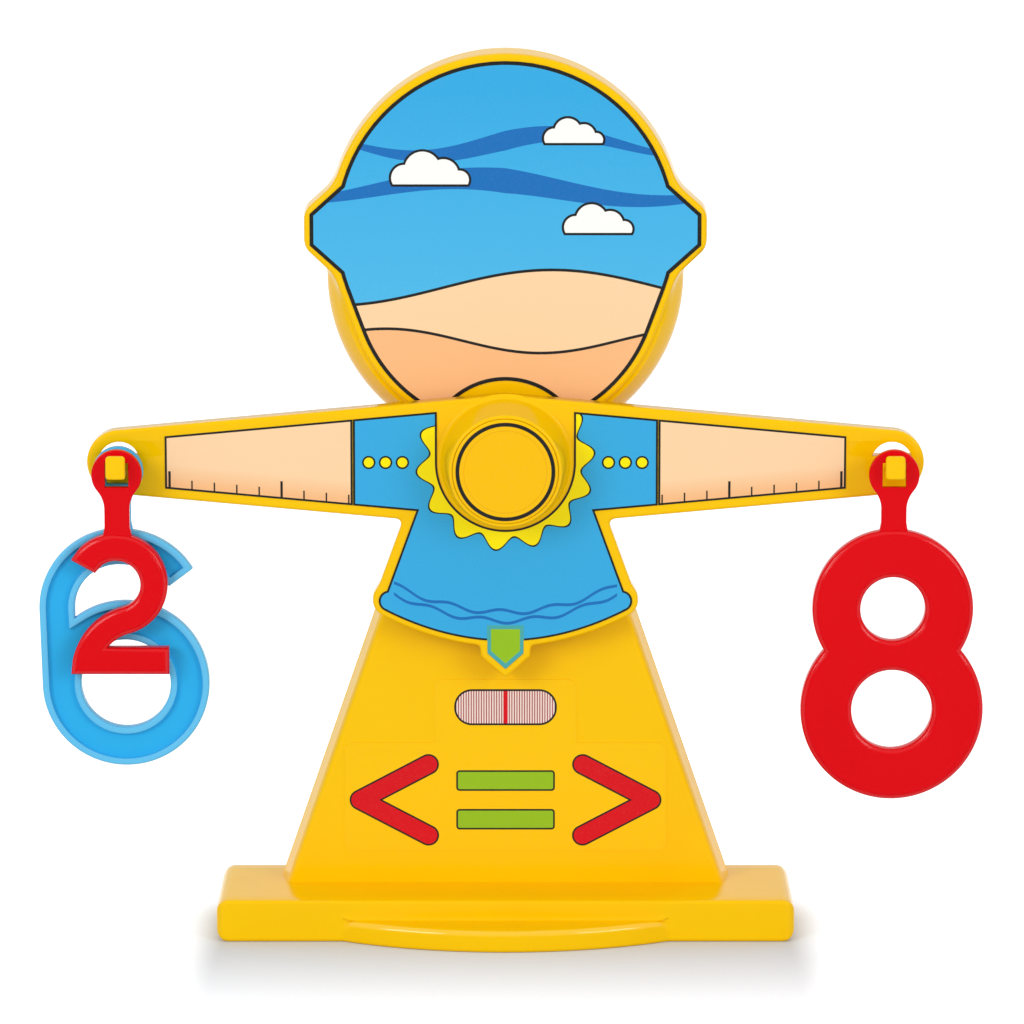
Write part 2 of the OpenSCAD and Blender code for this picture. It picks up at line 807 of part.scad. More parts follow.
// A straight stroke from x0 to x1 at height y.
module bar(x0, x1, y, section) {
    translate([x0, y, 0]) rotate([90, 0, 90]) linear_extrude(x1 - x0) polygon(section);
}

// A round hole whose front edge is rounded.
module eyelet_cut(r, t, edge) {
    translate([0, 0, -cut]) rotate_extrude() polygon(concat(
        [[0, 0], [r, 0]], arc(r + edge, t + cut - edge, edge, 180, 90),
        [[r + edge, t + 2 * cut], [0, t + 2 * cut]]
    ));
}

// The flat stem with the eye that goes over the hook, reaching down to y = low.
module stem(low) {
    flare = stem_w * 0.1;
    fx = stem_w / 2 + stem_fillet;
    a = -acos(fx / (eye_r + stem_fillet));
    fy = eye_y + (eye_r + stem_fillet) * sin(a);
    translate([0, 0, eye_out]) linear_extrude(eye_t) difference() {
        polygon(concat(
            arc(0, eye_y, eye_r, 180 - a, a, 48),
            [for (i = [1:5]) let (b = 180 + a - a * i / 5) [fx + stem_fillet * cos(b), fy + stem_fillet * sin(b)]],
            [[stem_w / 2, low + stem_w / 2], [stem_w / 2 + flare, low],
             [-stem_w / 2 - flare, low], [-stem_w / 2, low + stem_w / 2]],
            [for (i = [0:4]) let (b = -a * i / 5) [-fx + stem_fillet * cos(b), fy + stem_fillet * sin(b)]]
        ));
        translate([-slot_w / 2, eye_y - slot_h / 2]) square([slot_w, slot_h]);
    }
}

// Two
two_top = -27.4;
two_base = -90.9;
two_left = -21.2;
two_right = 22.5;
two_cx = -0.7;
two_r1 = 16.8;
two_end = 151;
two_cy = two_top - two_r1 - two_stroke / 2;
two_lead = two_left + two_stroke / 2 - two_cx;
two_r2 = (pow(two_lead, 2) + pow(two_cy - two_base, 2) - pow(two_r1, 2)) / (2 * (two_r1 - two_lead));
two_cx2 = two_cx + two_lead + two_r2;
two_turn = atan2(two_base - two_cy, two_cx2 - two_cx);

// The path of the two: a hook and a sweep to the left foot, shortened by inset at both ends.
function two_path(inset) = let (
    top = bend(two_cx, two_cy, two_r1, two_end - inset / two_r1 * 57, two_turn, 30),
    foot = bend(two_cx2, two_base, two_r2, two_turn + 180, 180 - asin(inset / two_r2), 10, -1)
) concat(top, [for (i = [1:10]) foot[i]]);

module number_two() {
    section = stroke_section(two_stroke, number_t, number_edge);
    inner = two_stroke - 2 * rim_w;
    hollow = number_t - two_floor;
    color(red) upright() translate([-arm_reach, pivot_h - hook_drop, front_row]) {
        difference() {
            union() {
                stroke(two_path(0), section);
                bar(two_left + rim_w, two_right, two_base + two_stroke / 2, section);
            }
            stroke(two_path(rim_w), square_section(inner, -cut, hollow));
            translate([two_left + 2 * rim_w, two_base + rim_w, -cut])
                cube([two_right - two_left - 3 * rim_w, inner, hollow + cut]);
        }
        difference() {
            stem(two_top - two_stroke / 2);
            translate([two_cx, two_cy, -cut]) cylinder(r = two_r1 + two_stroke / 4, h = number_t + 2 * cut);
        }
    }
}

// Six
six_r = 35.7;
six_stroke = 15.8;
six_top = -26.7;
six_cy = six_top - six_r;
six_in_r = six_r - six_stroke;
six_open = 2.2;
six_tip_open = 6;
six_bowl_r = 37.3;
six_hole_r = 20;
six_bowl = [2.6, -96.7];
six_end = 30;

// A station of the six at angle a: left of the top both edges are circles, right of it they open out.
function six_station(a) = let (
    right = a < 90 ? 1 : 0,
    outer = [(six_r + right * six_open) * cos(a), six_r * sin(a)],
    inner = [(six_in_r + right * six_tip_open) * cos(a), six_in_r * sin(a)]
) [[0, six_cy] + (outer + inner) / 2, (outer - inner) / six_stroke];

// The path of the six: straight up out of the bowl, over the top and down to its tip.
function six_path(inset) = let (end = six_end + inset / six_r * 57) concat(
    [[[six_bowl[0] - six_bowl_r + six_stroke / 2 + 0.3, six_bowl[1]], [-1, 0]]],
    [for (i = [0:24]) six_station(180 + (end - 180) * i / 24)]
);

// The solid six, rounded at the front, without its hole.
module six_body() {
    stroke(six_path(0), stroke_section(six_stroke, number_t, rim_edge));
    translate([six_bowl[0], six_bowl[1], 0]) puck(six_bowl_r, number_t, rim_edge);
}

module six_hollow() {
    linear_extrude(number_t) difference() {
        translate(six_bowl) circle(six_bowl_r - rim_w);
        translate(six_bowl) circle(six_hole_r + rim_w);
    }
    stroke(six_path(rim_w), square_section(six_stroke - 2 * rim_w, 0, number_t));
}

module number_six() {
    color(blue) upright() translate([-arm_reach, pivot_h - hook_drop, back_row]) {
        difference() {
            six_body();
            translate([six_bowl[0], six_bowl[1], 0]) eyelet_cut(six_hole_r, number_t, rim_edge);
            translate([0, 0, six_floor]) six_hollow();
        }
        difference() {
            stem(six_top - rim_w);
            translate([0, six_cy, -cut]) cylinder(r = six_r - rim_w / 2, h = number_t + 2 * cut);
        }
    }
}

// Eight
eight_r1 = 35.8;
eight_r2 = 40.7;
eight_hole1 = 14.4;
eight_hole2 = 18;
eight_top = -25.5;
eight_y1 = eight_top - eight_r1;
eight_y2 = -107;

module number_eight() {
    color(red) upright() translate([arm_reach, pivot_h - hook_drop, front_row]) {
        difference() {
            union() {
                translate([0, eight_y1, 0]) puck(eight_r1, number_t, number_edge);
                translate([0, eight_y2, 0]) puck(eight_r2, number_t, number_edge);
            }
            translate([0, eight_y1, 0]) eyelet_cut(eight_hole1, number_t, number_edge);
            translate([0, eight_y2, 0]) eyelet_cut(eight_hole2, number_t, number_edge);
            translate([0, 0, -cut]) linear_extrude(number_t - eight_floor + cut) difference() {
                union() {
                    translate([0, eight_y1]) circle(eight_r1 - rim_w);
                    translate([0, eight_y2]) circle(eight_r2 - rim_w);
                }
                translate([0, eight_y1]) circle(eight_hole1 + rim_w);
                translate([0, eight_y2]) circle(eight_hole2 + rim_w);
            }
        }
        difference() {
            stem(eight_top - rim_w);
            translate([0, eight_y1, -cut]) cylinder(r = eight_r1 - rim_w / 2, h = number_t + 2 * cut);
        }
    }
}

base_shell();
base_plate();
base_screws();
stand_bolts();
stand_front_shell();
stand_back_shell();
stand_screws();
pivot_axle();
thrust_washer();
retaining_washer();
retaining_screw();
beam();
hub_cap();
hub_label();
shirt_label();
left_arm_label();
right_arm_label();
head_label();
dial_label();
number_two();
number_six();
number_eight();
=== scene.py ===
# %% [markdown]
# # A number balance in moulded plastic
# A flat figure stands on a long foot and holds a tilting beam. Numbers hang from hooks at the ends
# of the beam, and a bigger number weighs more, so two and six together balance eight.
# The CAD model is the skeleton of this scene. It fixes where every piece is and what it turns on.
# Each cell below adds one piece or one finish, and says why it is made the way it is.

# %% Load the packed model
import math

import bpy
import bmesh
import numpy as np
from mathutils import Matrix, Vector
from mathutils.geometry import tessellate_polygon


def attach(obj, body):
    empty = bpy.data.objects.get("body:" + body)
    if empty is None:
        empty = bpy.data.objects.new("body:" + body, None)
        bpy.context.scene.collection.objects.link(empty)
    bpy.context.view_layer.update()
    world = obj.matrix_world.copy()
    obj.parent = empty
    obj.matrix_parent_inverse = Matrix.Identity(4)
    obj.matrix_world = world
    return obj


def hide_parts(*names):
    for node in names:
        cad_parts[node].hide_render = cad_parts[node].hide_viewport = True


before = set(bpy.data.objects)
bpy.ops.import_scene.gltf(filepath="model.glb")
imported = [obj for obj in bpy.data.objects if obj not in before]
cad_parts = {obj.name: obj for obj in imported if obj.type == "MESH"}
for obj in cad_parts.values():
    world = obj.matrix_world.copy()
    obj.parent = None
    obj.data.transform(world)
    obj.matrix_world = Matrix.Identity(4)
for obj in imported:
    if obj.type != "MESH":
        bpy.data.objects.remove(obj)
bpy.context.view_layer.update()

print("nodes:", list(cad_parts))

# %% [markdown]
# ## The camera
# The picture was taken from a good distance with a long lens, a little above the toy, so the sides
# of the foot hardly converge. We copy that: 2.5 m away, 10 degrees up, and a lens long enough that
# the toy fills the frame. Setting the camera first lets every later piece be compared with the
# picture at once.

# %% Camera
aim = Vector((0.002925, 0.0, 0.1902))
away = 2.5
rise = math.radians(10)
sensor = 36
# The picture is 1024 pixels wide, and each of them shows 0.45 mm.
picture_wide = 1024 * 0.00045
spot = aim + Vector((0, -math.cos(rise), math.sin(rise))) * away
lens_data = bpy.data.cameras.new("studio_camera")
lens_data.sensor_width = sensor
lens_data.lens = sensor * away / picture_wide
camera = bpy.data.objects.new("studio_camera", lens_data)
camera.location = spot
camera.rotation_euler = (aim - spot).to_track_quat("-Z", "Y").to_euler()
bpy.context.scene.collection.objects.link(camera)
bpy.context.scene.camera = camera
print("lens", round(lens_data.lens, 1), "mm")

# %% [markdown]
# ## Writing shader sums as sums
# A print or a plastic is a sum over the surface: where is this point, how far is it from that line.
# Blender writes such sums as Math nodes, one box for each plus and minus, which is hard to read.
# The small class below wraps a node's output, so that `1 - mask` or `abs(x) - 20` makes the
# boxes itself. Its method `make` adds any other node.

# %% Sockets as numbers
class Amount:
    """One output of a shader node; Python's operators on it add Math nodes to its tree."""

    def __init__(self, tree, socket):
        self.tree = tree
        self.socket = socket

    def make(self, kind, inputs, output=0, **settings):
        """Adds a node of this kind, sets its settings, then its inputs, and wraps one output."""
        node = self.tree.nodes.new(kind)
        for key, value in settings.items():
            setattr(node, key, value)
        for key, value in inputs.items():
            if isinstance(value, Amount):
                self.tree.links.new(value.socket, node.inputs[key])
            else:
                node.inputs[key].default_value = value
        return Amount(self.tree, node.outputs[output])

    def sum(self, operation, *terms):
        return self.make("ShaderNodeMath", dict(enumerate(terms)), operation=operation)

    def __add__(self, other):
        return self.sum("ADD", self, other)

    def __radd__(self, other):
        return self.sum("ADD", other, self)

    def __sub__(self, other):
        return self.sum("SUBTRACT", self, other)

    def __rsub__(self, other):
        return self.sum("SUBTRACT", other, self)

    def __mul__(self, other):
        return self.sum("MULTIPLY", self, other)

    def __rmul__(self, other):
        return self.sum("MULTIPLY", other, self)

    def __truediv__(self, other):
        return self.sum("DIVIDE", self, other)

    def __rtruediv__(self, other):
        return self.sum("DIVIDE", other, self)

    def __abs__(self):
        return self.sum("ABSOLUTE", self)

    def __neg__(self):
        return self.sum("MULTIPLY", self, -1.0)

    def least(self, other):
        return self.sum("MINIMUM", self, other)

    def most(self, other):
        return self.sum("MAXIMUM", self, other)

    def root(self):
        return self.sum("SQRT", self)

    def wave(self):
        return self.sum("SINE", self)

    def part(self, axis):
        """One coordinate of a point: 0 is x, 1 is y and 2 is z."""
        return self.make("ShaderNodeSeparateXYZ", {0: self}, axis)

    def held(self):
        """This amount kept between 0 and 1."""
        return self.make("ShaderNodeClamp", {0: self, 1: 0.0, 2: 1.0})

    def over(self, below, above):
        """Mixes two colours: below where this amount is 0, above where it is 1."""
        ends = {0: self, 6: below, 7: above}
        return self.make("ShaderNodeMix", ends, 2, data_type="RGBA", clamp_factor=True)


def length(a, b):
    """The distance sqrt(a squared + b squared)."""
    return (a * a + b * b).root()


def inked(distance, soft=0.12):
    """A mask that is 1 where a distance in millimetres is below 0, with an edge soft mm wide."""
    return (0.5 - distance / soft).held()


print("methods:", [name for name in vars(Amount) if not name.startswith("__")])

# %% [markdown]
# ## The room
# A pale floor, a white surround and large soft lamps are what a catalogue photographer uses for
# glossy plastic. The floor catches a faint shadow. Where it is in view, straight or by reflection,
# it gets a little extra light, so that it fades into the white background. Near the foot that extra
# light is held back, which paints a soft shadow there over the faint real one.

# %% Floor, surround and lamps
scene = bpy.context.scene
scene.view_settings.view_transform = "Standard"


def rays_in_view(tree):
    """1 for rays from the camera, also by way of gloss or glass, and 0 for light on things."""
    path = tree.nodes.new("ShaderNodeLightPath").outputs
    kinds = ("Is Camera Ray", "Is Glossy Ray", "Is Transmission Ray")
    straight, glossy, through = (Amount(tree, path[kind]) for kind in kinds)
    return straight.most(glossy).most(through)


surround = bpy.data.worlds.new("white_surround")
scene.world = surround
surround.use_nodes = True
sky = surround.node_tree
sky.nodes.clear()
in_view = rays_in_view(sky)
lit_sky = in_view.make("ShaderNodeBackground", {0: (1.0, 0.99, 0.97, 1), 1: 0.68})
white_sky = in_view.make("ShaderNodeBackground", {0: (1, 1, 1, 1), 1: 1.0})
mixed_sky = in_view.make("ShaderNodeMixShader", {0: in_view, 1: lit_sky, 2: white_sky})
sky.links.new(mixed_sky.socket, sky.nodes.new("ShaderNodeOutputWorld").inputs[0])


def soft_lamp(name, place, towards, size, power):
    """A square lamp at place that faces towards; its size in metres makes its shadow soft."""
    data = bpy.data.lights.new(name, "AREA")
    data.shape = "SQUARE"
    data.size = size
    data.energy = power
    lamp = bpy.data.objects.new(name, data)
    lamp.location = place
    lamp.rotation_euler = (Vector(towards) - Vector(place)).to_track_quat("-Z", "Y").to_euler()
    scene.collection.objects.link(lamp)
    return lamp


soft_lamp("lamp_left", (-1.3, -1.8, 0.95), (0, 0, 0.2), 0.9, 15)
soft_lamp("lamp_right", (1.4, -1.7, 0.85), (0, 0, 0.2), 0.9, 11.5)
soft_lamp("lamp_top", (0.0, 0.3, 1.9), (0, 0, 0.1), 1.4, 2.0)

floor_mesh = bpy.data.meshes.new("studio_floor")
floor_mesh.from_pydata([(-9, -9, 0), (9, -9, 0), (9, 9, 0), (-9, 9, 0)], [], [(0, 1, 2, 3)])
floor = bpy.data.objects.new("studio_floor", floor_mesh)
scene.collection.objects.link(floor)

# %% [markdown]
# ## Colours
# Printed and moulded colours are named once, as they look on a screen, and turned into the linear
# light that Blender counts in.

# %% Colours
def paint(code):
    """A linear colour from a hex code: each channel c becomes ((c + 0.055) / 1.055) to the 2.4."""
    c = np.array([int(code[i:i + 2], 16) for i in (1, 3, 5)]) / 255
    linear = np.where(c <= 0.04045, c / 12.92, ((c + 0.055) / 1.055) ** 2.4)
    return (*map(float, linear), 1.0)


sun_yellow = paint("#fdc902")
deep_yellow = paint("#fac002")
signal_red = paint("#e10813")
deep_red = paint("#d4060f")
clear_blue = paint("#2cb2ec")
deep_blue = paint("#1aa6e6")
pale_blue = paint("#66c4f0")
ink_blue = paint("#38abe2")
ink_navy = paint("#1e70ba")
ink_peach = paint("#fed6a8")
ink_sand = paint("#f9be86")
ink_lemon = paint("#ffed00")
ink_green = paint("#95c11f")
ink_teal = paint("#4aa9a9")
ink_black = paint("#1a1a18")
ink_white = paint("#fbfbf7")
ink_red = paint("#d8101c")
print("colours ready, for example yellow", [round(v, 3) for v in sun_yellow])

# %% [markdown]
# ## Finishes
# Injection-moulded plastic is never one flat colour. The melt flows in streaks that shift the tint
# a little, the polish of the mould varies, and the skin has a faint orange-peel. Each of these is
# a noise over the object's own coordinates, at its own scale, so nothing slides when a joint moves.

# %% Moulded plastic
def bare_material(name):
    """An empty material: itself, its surface socket, and the object's own coordinates, wrapped."""
    material = bpy.data.materials.new(name)
    material.use_nodes = True
    tree = material.node_tree
    tree.nodes.clear()
    out = tree.nodes.new("ShaderNodeOutputMaterial")
    place = Amount(tree, tree.nodes.new("ShaderNodeTexCoord").outputs["Object"])
    return material, out.inputs["Surface"], place


def start_material(name):
    """A material with a Principled shader: itself, the shader and the coordinates."""
    material, surface, place = bare_material(name)
    shader = place.tree.nodes.new("ShaderNodeBsdfPrincipled")
    place.tree.links.new(shader.outputs[0], surface)
    return material, shader, place


def feed(place, shader, socket, value):
    """Links a wrapped amount to a socket of the shader, or sets a plain value on it."""
    if isinstance(value, Amount):
        place.tree.links.new(value.socket, shader.inputs[socket])
    else:
        shader.inputs[socket].default_value = value


def noise(place, size, detail=2.0):
    """Noise whose features are about size millimetres wide."""
    inputs = {"Vector": place, "Scale": 1000 / size, "Detail": detail}
    return place.make("ShaderNodeTexNoise", inputs)


def skin(place, shader, rough, peel):
    """Roughness that drifts about rough, and a bump of orange-peel with a height of peel mm."""
    drift = noise(place, 35, 3.0)
    feed(place, shader, "Roughness", rough + (drift - 0.5) * 0.12)
    grain = noise(place, 1.6, 2.0)
    bump = {"Strength": 0.35, "Distance": peel * 0.001, "Height": grain}
    feed(place, shader, "Normal", place.make("ShaderNodeBump", bump))


def moulded(name, tint, deep, rough, shine, thin=None, bright=None):
    """Glossy moulded plastic: flow streaks between two tints, drifting polish and a peel.

    Thin walls let light through, so a rim may have a paler tint: thin is that tint, the distance
    towards the viewer where it begins and the one where it is full, in millimetres. A rounded edge
    that catches the lamps has a clear coat: bright gives its share from the distances out and up.
    """
    material, shader, place = start_material(name)
    stretched = place.make("ShaderNodeMapping", {"Vector": place, "Scale": (1.0, 1.0, 0.35)})
    streak = place.make("ShaderNodeTexNoise", {"Vector": stretched, "Scale": 22.0, "Detail": 4.0})
    share = ((streak - 0.45) * 2.2).held() * 0.55
    colour = share.over(tint, deep)
    out = place.part(1) * -1000.0
    if thin:
        pale, begin, full = thin
        colour = ((out - begin) / (full - begin)).held().over(colour, pale)
    if bright:
        up = place.part(2) * 1000.0
        feed(place, shader, "Coat Weight", bright(out, up))
        shader.inputs["Coat Roughness"].default_value = 0.08
    feed(place, shader, "Base Color", colour)
    skin(place, shader, rough, 0.02)
    shader.inputs["Specular IOR Level"].default_value = shine
    shader.inputs["IOR"].default_value = 1.5
    return material


def red_rim(out, up):
    """A faint coat on the rounded front edge of the red numbers, from 34.5 to 35.2 mm out."""
    return ((out - 34.5) * 8.0).held() * ((35.2 - out) * 12.0).held() * 0.4


yellow_plastic = moulded("yellow_plastic", sun_yellow, deep_yellow, 0.13, 0.1)
red_plastic = moulded("red_plastic", signal_red, deep_red, 0.12, 0.05, bright=red_rim)
blue_plastic = moulded("blue_plastic", clear_blue, deep_blue, 0.22, 0.12, (pale_blue, 24.3, 26.3))
print("plastics:", [m.name for m in (yellow_plastic, red_plastic, blue_plastic)])

# %% [markdown]
# ## Steel and nylon
# Screws, bolts and the axle are bright zinc-plated steel, and one washer is white nylon. They show
# only from behind or below, so a fine brushed noise on roughness and colour is enough.

# %% Steel and nylon
def plated(name, light, dark, metal, rough):
    """Plated metal or nylon: a fine grain that shifts both colour and polish."""
    material, shader, place = start_material(name)
    grain = noise(place, 0.8, 3.0)
    feed(place, shader, "Base Color", grain.over(dark, light))
    feed(place, shader, "Roughness", rough + (grain - 0.5) * 0.2)
    shader.inputs["Metallic"].default_value = metal
    return material


def dress(node, material):
    """Gives a CAD node that stays in view a better material."""
    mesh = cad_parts[node].data
    mesh.materials.clear()
    mesh.materials.append(material)


zinc = plated("zinc_plate", paint("#d8d9da"), paint("#b4b6b9"), 1.0, 0.32)
nylon = plated("white_nylon", paint("#f4f2ec"), paint("#e6e3da"), 0.0, 0.5)
steel_pieces = ("base_screws", "stand_bolts", "stand_screws", "pivot_axle", "retaining_washer",
                "retaining_screw")
for node in steel_pieces:
    dress(node, zinc)
dress("thrust_washer", nylon)
print("fasteners dressed:", len(steel_pieces) + 1)

# %% [markdown]
# ## The floor's finish
# The floor is plain matt grey. For rays in view it adds a light of its own, which lifts it to the
# white of the background. Near the foot, and most in front of it, the lift falls almost to nothing:
# that paints a soft shadow there, laid over the faint real one.

# %% The floor's finish
floor_paint, floor_surface, floor_place = bare_material("pale_floor")
seen = rays_in_view(floor_place.tree)
floor_x = floor_place.part(0)
floor_y = floor_place.part(1)
# The box of the painted shadow about the foot, and how far out it fades to the full lift.
shade_half, shade_front, shade_fade = 0.127, -0.035, 0.17
beside = (abs(floor_x) - shade_half).most(0.0) * 8.0
before = (shade_front - floor_y).most(0.0).most(floor_y * 2.5)
out_of_painted_shadow = (length(beside, before) / shade_fade).held()
matt = seen.make("ShaderNodeBsdfDiffuse", {"Color": (0.65, 0.68, 0.72, 1)})
# Painted shadow: near the foot the extra light drops to 0.02, and away from it it grows to 0.72.
glow = seen * (0.02 + out_of_painted_shadow * 0.7)
lift = seen.make("ShaderNodeEmission", {"Color": (1, 1, 1, 1), "Strength": glow})
both = seen.make("ShaderNodeAddShader", {0: matt, 1: lift})
floor_place.tree.links.new(both.socket, floor_surface)
floor_mesh.materials.append(floor_paint)
print("floor painted")

# %% [markdown]
# ## From outline to moulding
# Nearly every piece of this toy is a flat outline with depth: a front face, a rounded edge, a side
# wall and often a hollow back. It could be cut from blocks, but a mould maker thinks of it as
# outlines at different depths, each drawn in a little. We do the same. A list of steps says how far
# the outline is drawn in and how far out it lies, numpy makes the whole stack of rings at once, and
# the first and last ring are filled.

# %% Rings, bands and caps
mm = 0.001


def ring(flat, out):
    """An outline in the front view (x, z in mm) stood up, out millimetres towards the viewer."""
    return np.column_stack([flat[:, 0], np.full(len(flat), -out), flat[:, 1]]) * mm


def bands(rows, count, start):
    """Quads between neighbouring rings: a grid of rows by count that is closed along each ring."""
    grid = start + np.arange(rows * count).reshape(rows, count)
    near, far = grid[:-1], grid[1:]
    quads = np.stack([near, np.roll(near, -1, 1), np.roll(far, -1, 1), far], -1)
    return quads.reshape(-1, 4).tolist()


def cap(edges):
    """Fills a flat area: edges are pairs of an outline and its first index; all but one are holes."""
    if len(edges) == 1:
        flat, start = edges[0]
        return [list(range(start, start + len(flat)))]
    index = np.concatenate([start + np.arange(len(flat)) for flat, start in edges])
    lines = [np.pad(flat, ((0, 0), (0, 1))).tolist() for flat, start in edges]
    return index[np.array(tessellate_polygon(lines))].tolist()


def mould(*walls, pockets=(), depth=0.0):
    """Carries steps round loops and fills both ends; a loop is a function from inset to outline.

    Each wall is a loop with its steps of (inset, out). The first wall is the edge of the two end
    faces and the others are holes in them. Pockets are outlines sunk from the last face to depth.
    """
    points, faces, firsts, lasts, start = [], [], [], [], 0
    for loop, steps in walls:
        flats = [loop(inset) for inset, out in steps]
        count = len(flats[0])
        faces += bands(len(steps), count, start)
        points += [ring(flat, out) for flat, (inset, out) in zip(flats, steps)]
        firsts.append((flats[0], start))
        lasts.append((flats[-1], start + count * (len(steps) - 1)))
        start += count * len(steps)
    for flat in pockets:
        faces += bands(2, len(flat), start)
        faces += cap([(flat, start + len(flat))])
        points += [ring(flat, walls[0][1][-1][1]), ring(flat, depth)]
        lasts.append((flat, start))
        start += 2 * len(flat)
    return np.concatenate(points), faces + cap(firsts) + cap(lasts)


def turned(x, z, profile, count=96, hollow=False):
    """A profile of (radius, out) turned about the line of sight through x, z.

    A hollow one joins its last point to its first, and the others are closed by discs.
    """
    circle = np.linspace(0, 2 * np.pi, count, endpoint=False)
    spoke = np.column_stack([np.cos(circle), np.sin(circle)])
    if hollow:
        rings = [ring([x, z] + r * spoke, out) for r, out in profile]
        faces = np.array(bands(len(rings) + 1, count, 0)) % (len(rings) * count)
        return np.concatenate(rings), faces.tolist()
    return mould((lambda r: [x, z] + r * spoke, profile))


def joined(*shapes):
    """Several shapes as one: the points one after another, the faces counted on."""
    starts = np.cumsum([0] + [len(points) for points, faces in shapes])
    faces = [[i + s for i in face] for (p, faces), s in zip(shapes, starts) for face in faces]
    return np.concatenate([points for points, f in shapes]), faces


def quarter(count):
    """Angles of a quarter circle, from 0 to 90 degrees, in radians."""
    return np.radians(np.linspace(0, 90, count))


def front_edge(r, out, count):
    """Steps of a quarter circle from a front face at out down to the side: r(1 - cos), r(1 - sin)."""
    a = np.radians(np.linspace(90, 0, count))
    return list(zip(r * (1 - np.cos(a)), out - r * (1 - np.sin(a))))


def back_edge(r, out, count):
    """The same quarter circle from the side to a back face at out."""
    a = quarter(count)
    return list(zip(r * (1 - np.cos(a)), out + r * (1 - np.sin(a))))


print("a square ring of 4 points in 3 rows has", len(bands(3, 4, 0)), "quads")

# %% [markdown]
# ## Putting a piece into the scene
# A finished shape becomes a Blender mesh with its faces turned outwards and its curves shaded
# smooth. It then rides on the CAD body that it belongs to, and hides the CAD node that it stands for.

# %% Pieces
def piece(name, shape, material, body, slot, *nodes):
    """Makes an object of a shape, finishes it, lets it ride on a body and replaces CAD nodes."""
    points, faces = shape
    mesh = bpy.data.meshes.new(name)
    mesh.from_pydata(points.tolist(), [], faces)
    work = bmesh.new()
    work.from_mesh(mesh)
    bmesh.ops.recalc_face_normals(work, faces=work.faces)
    work.to_mesh(mesh)
    work.free()
    mesh.polygons.foreach_set("use_smooth", np.ones(len(mesh.polygons), bool))
    mesh.set_sharp_from_angle(angle=math.radians(33))
    mesh.materials.append(material)
    obj = bpy.data.objects.new(name, mesh)
    scene.collection.objects.link(obj)
    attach(obj, body)
    if nodes:
        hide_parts(*nodes)
    print(name, len(mesh.vertices), "points,", len(mesh.polygons), "faces")
    return obj


# %% [markdown]
# ## Two ways to draw an outline
# Numbers and hooks are drawn as arcs and lines, point after point, and drawing them in means
# moving each point along the bisector of its corner. The stand and the beam are several shapes
# grown together. For these we use a distance field: it tells how far a point lies outside the
# shape, and the smaller of two fields is their union. Along rays from a middle point we halve the
# interval until the field has the value we want, for all rays at once.

# %% Outlines
def arc(x, z, r, start, stop, count):
    """Points on a circle: x + r cos a, z + r sin a for a from start to stop in degrees."""
    a = np.radians(np.linspace(start, stop, count))
    return np.column_stack([x + r * np.cos(a), z + r * np.sin(a)])


def drawn(*parts, clear=0.0):
    """A loop from parts of a closed outline; inset moves each point along its corner's bisector.

    Points nearer than clear to a sharp outer corner are left out, so that an inset can't cross them,
    and the move is cut short in a very narrow corner, as a mould maker's cutter would leave it.
    """
    p = np.concatenate(parts)
    p = p[np.linalg.norm(p - np.roll(p, 1, 0), axis=1) > 0.05]
    run, before = directions(p)
    sharp = (np.sum(run * before, axis=1) < 0.6) & (before[:, 0] * run[:, 1] > before[:, 1] * run[:, 0])
    if clear > 0:
        gap = np.linalg.norm(p[:, None] - p[None, sharp], axis=2).min(axis=1)
        p = p[sharp | (gap > clear)]
        run, before = directions(p)
    normal = np.column_stack([run[:, 1] + before[:, 1], -run[:, 0] - before[:, 0]])
    turn = np.maximum(1 + np.sum(run * before, axis=1, keepdims=True), 0.5)
    return lambda inset: p - inset * normal / turn


def directions(p):
    """Unit vectors from each point to the next, and from the last point to each."""
    run = np.roll(p, -1, 0) - p
    run /= np.linalg.norm(run, axis=1, keepdims=True)
    return run, np.roll(run, 1, 0)


def grown(field, middle, count):
    """A loop where a field of x, z equals -inset, found along count rays from the middle.

    A field that changes with depth takes a third value, the share, and its loop takes (inset, share).
    """
    far = 420.0

    def reach(angle, inset, *share):
        low, high = np.zeros_like(angle), np.full_like(angle, far)
        for halving in range(42):
            mid = (low + high) / 2
            x, z = middle[0] + mid * np.cos(angle), middle[1] + mid * np.sin(angle)
            inside = field(x, z, *share) < -inset
            low, high = np.where(inside, mid, low), np.where(inside, high, mid)
        return np.column_stack([middle[0] + low * np.cos(angle), middle[1] + low * np.sin(angle)])

    fine = np.linspace(0, 2 * np.pi, 12001)
    walk = np.linalg.norm(np.diff(reach(fine, 0.0), axis=0), axis=1)
    along = np.concatenate([[0], np.cumsum(walk)])
    angles = np.interp(np.linspace(0, along[-1], count, endpoint=False), along, fine)
    return lambda step: reach(angles, *np.atleast_1d(step))


def blend_fields(a, b, k):
    """The smaller of two fields, with a fillet: a dip of k h (1 - h) where they meet."""
    h = np.clip(0.5 + 0.5 * (b - a) / k, 0, 1)
    return b + (a - b) * h - k * h * (1 - h)


print("a unit arc has", len(arc(0, 0, 1, 0, 90, 7)), "points")

# %% [markdown]
# ## The foot
# The foot is a long hollow box with a round-fronted toe. Boxes with bevels would do for the body,
# but the toe has to grow out of it without a seam. So one cross section is carried from the left end
# to the right: it grows lower towards the round ends, its front is pushed out by the toe's arc, and
# below it leaves a shallow tray for the plate that closes the foot.

# %% Foot
foot_half, foot_depth, foot_high = 130.0, 35.0, 19.0
end_r, corner_r, foot_edge = 5.5, 4.0, 1.6
toe_r, toe_deep, toe_high, toe_edge, toe_fillet = 143.225, 20.0, 10.0, 2.6, 1.2
tray_half, tray_wide, tray_deep, sole_wide = 127.6, 32.6, 2.5, 30.0


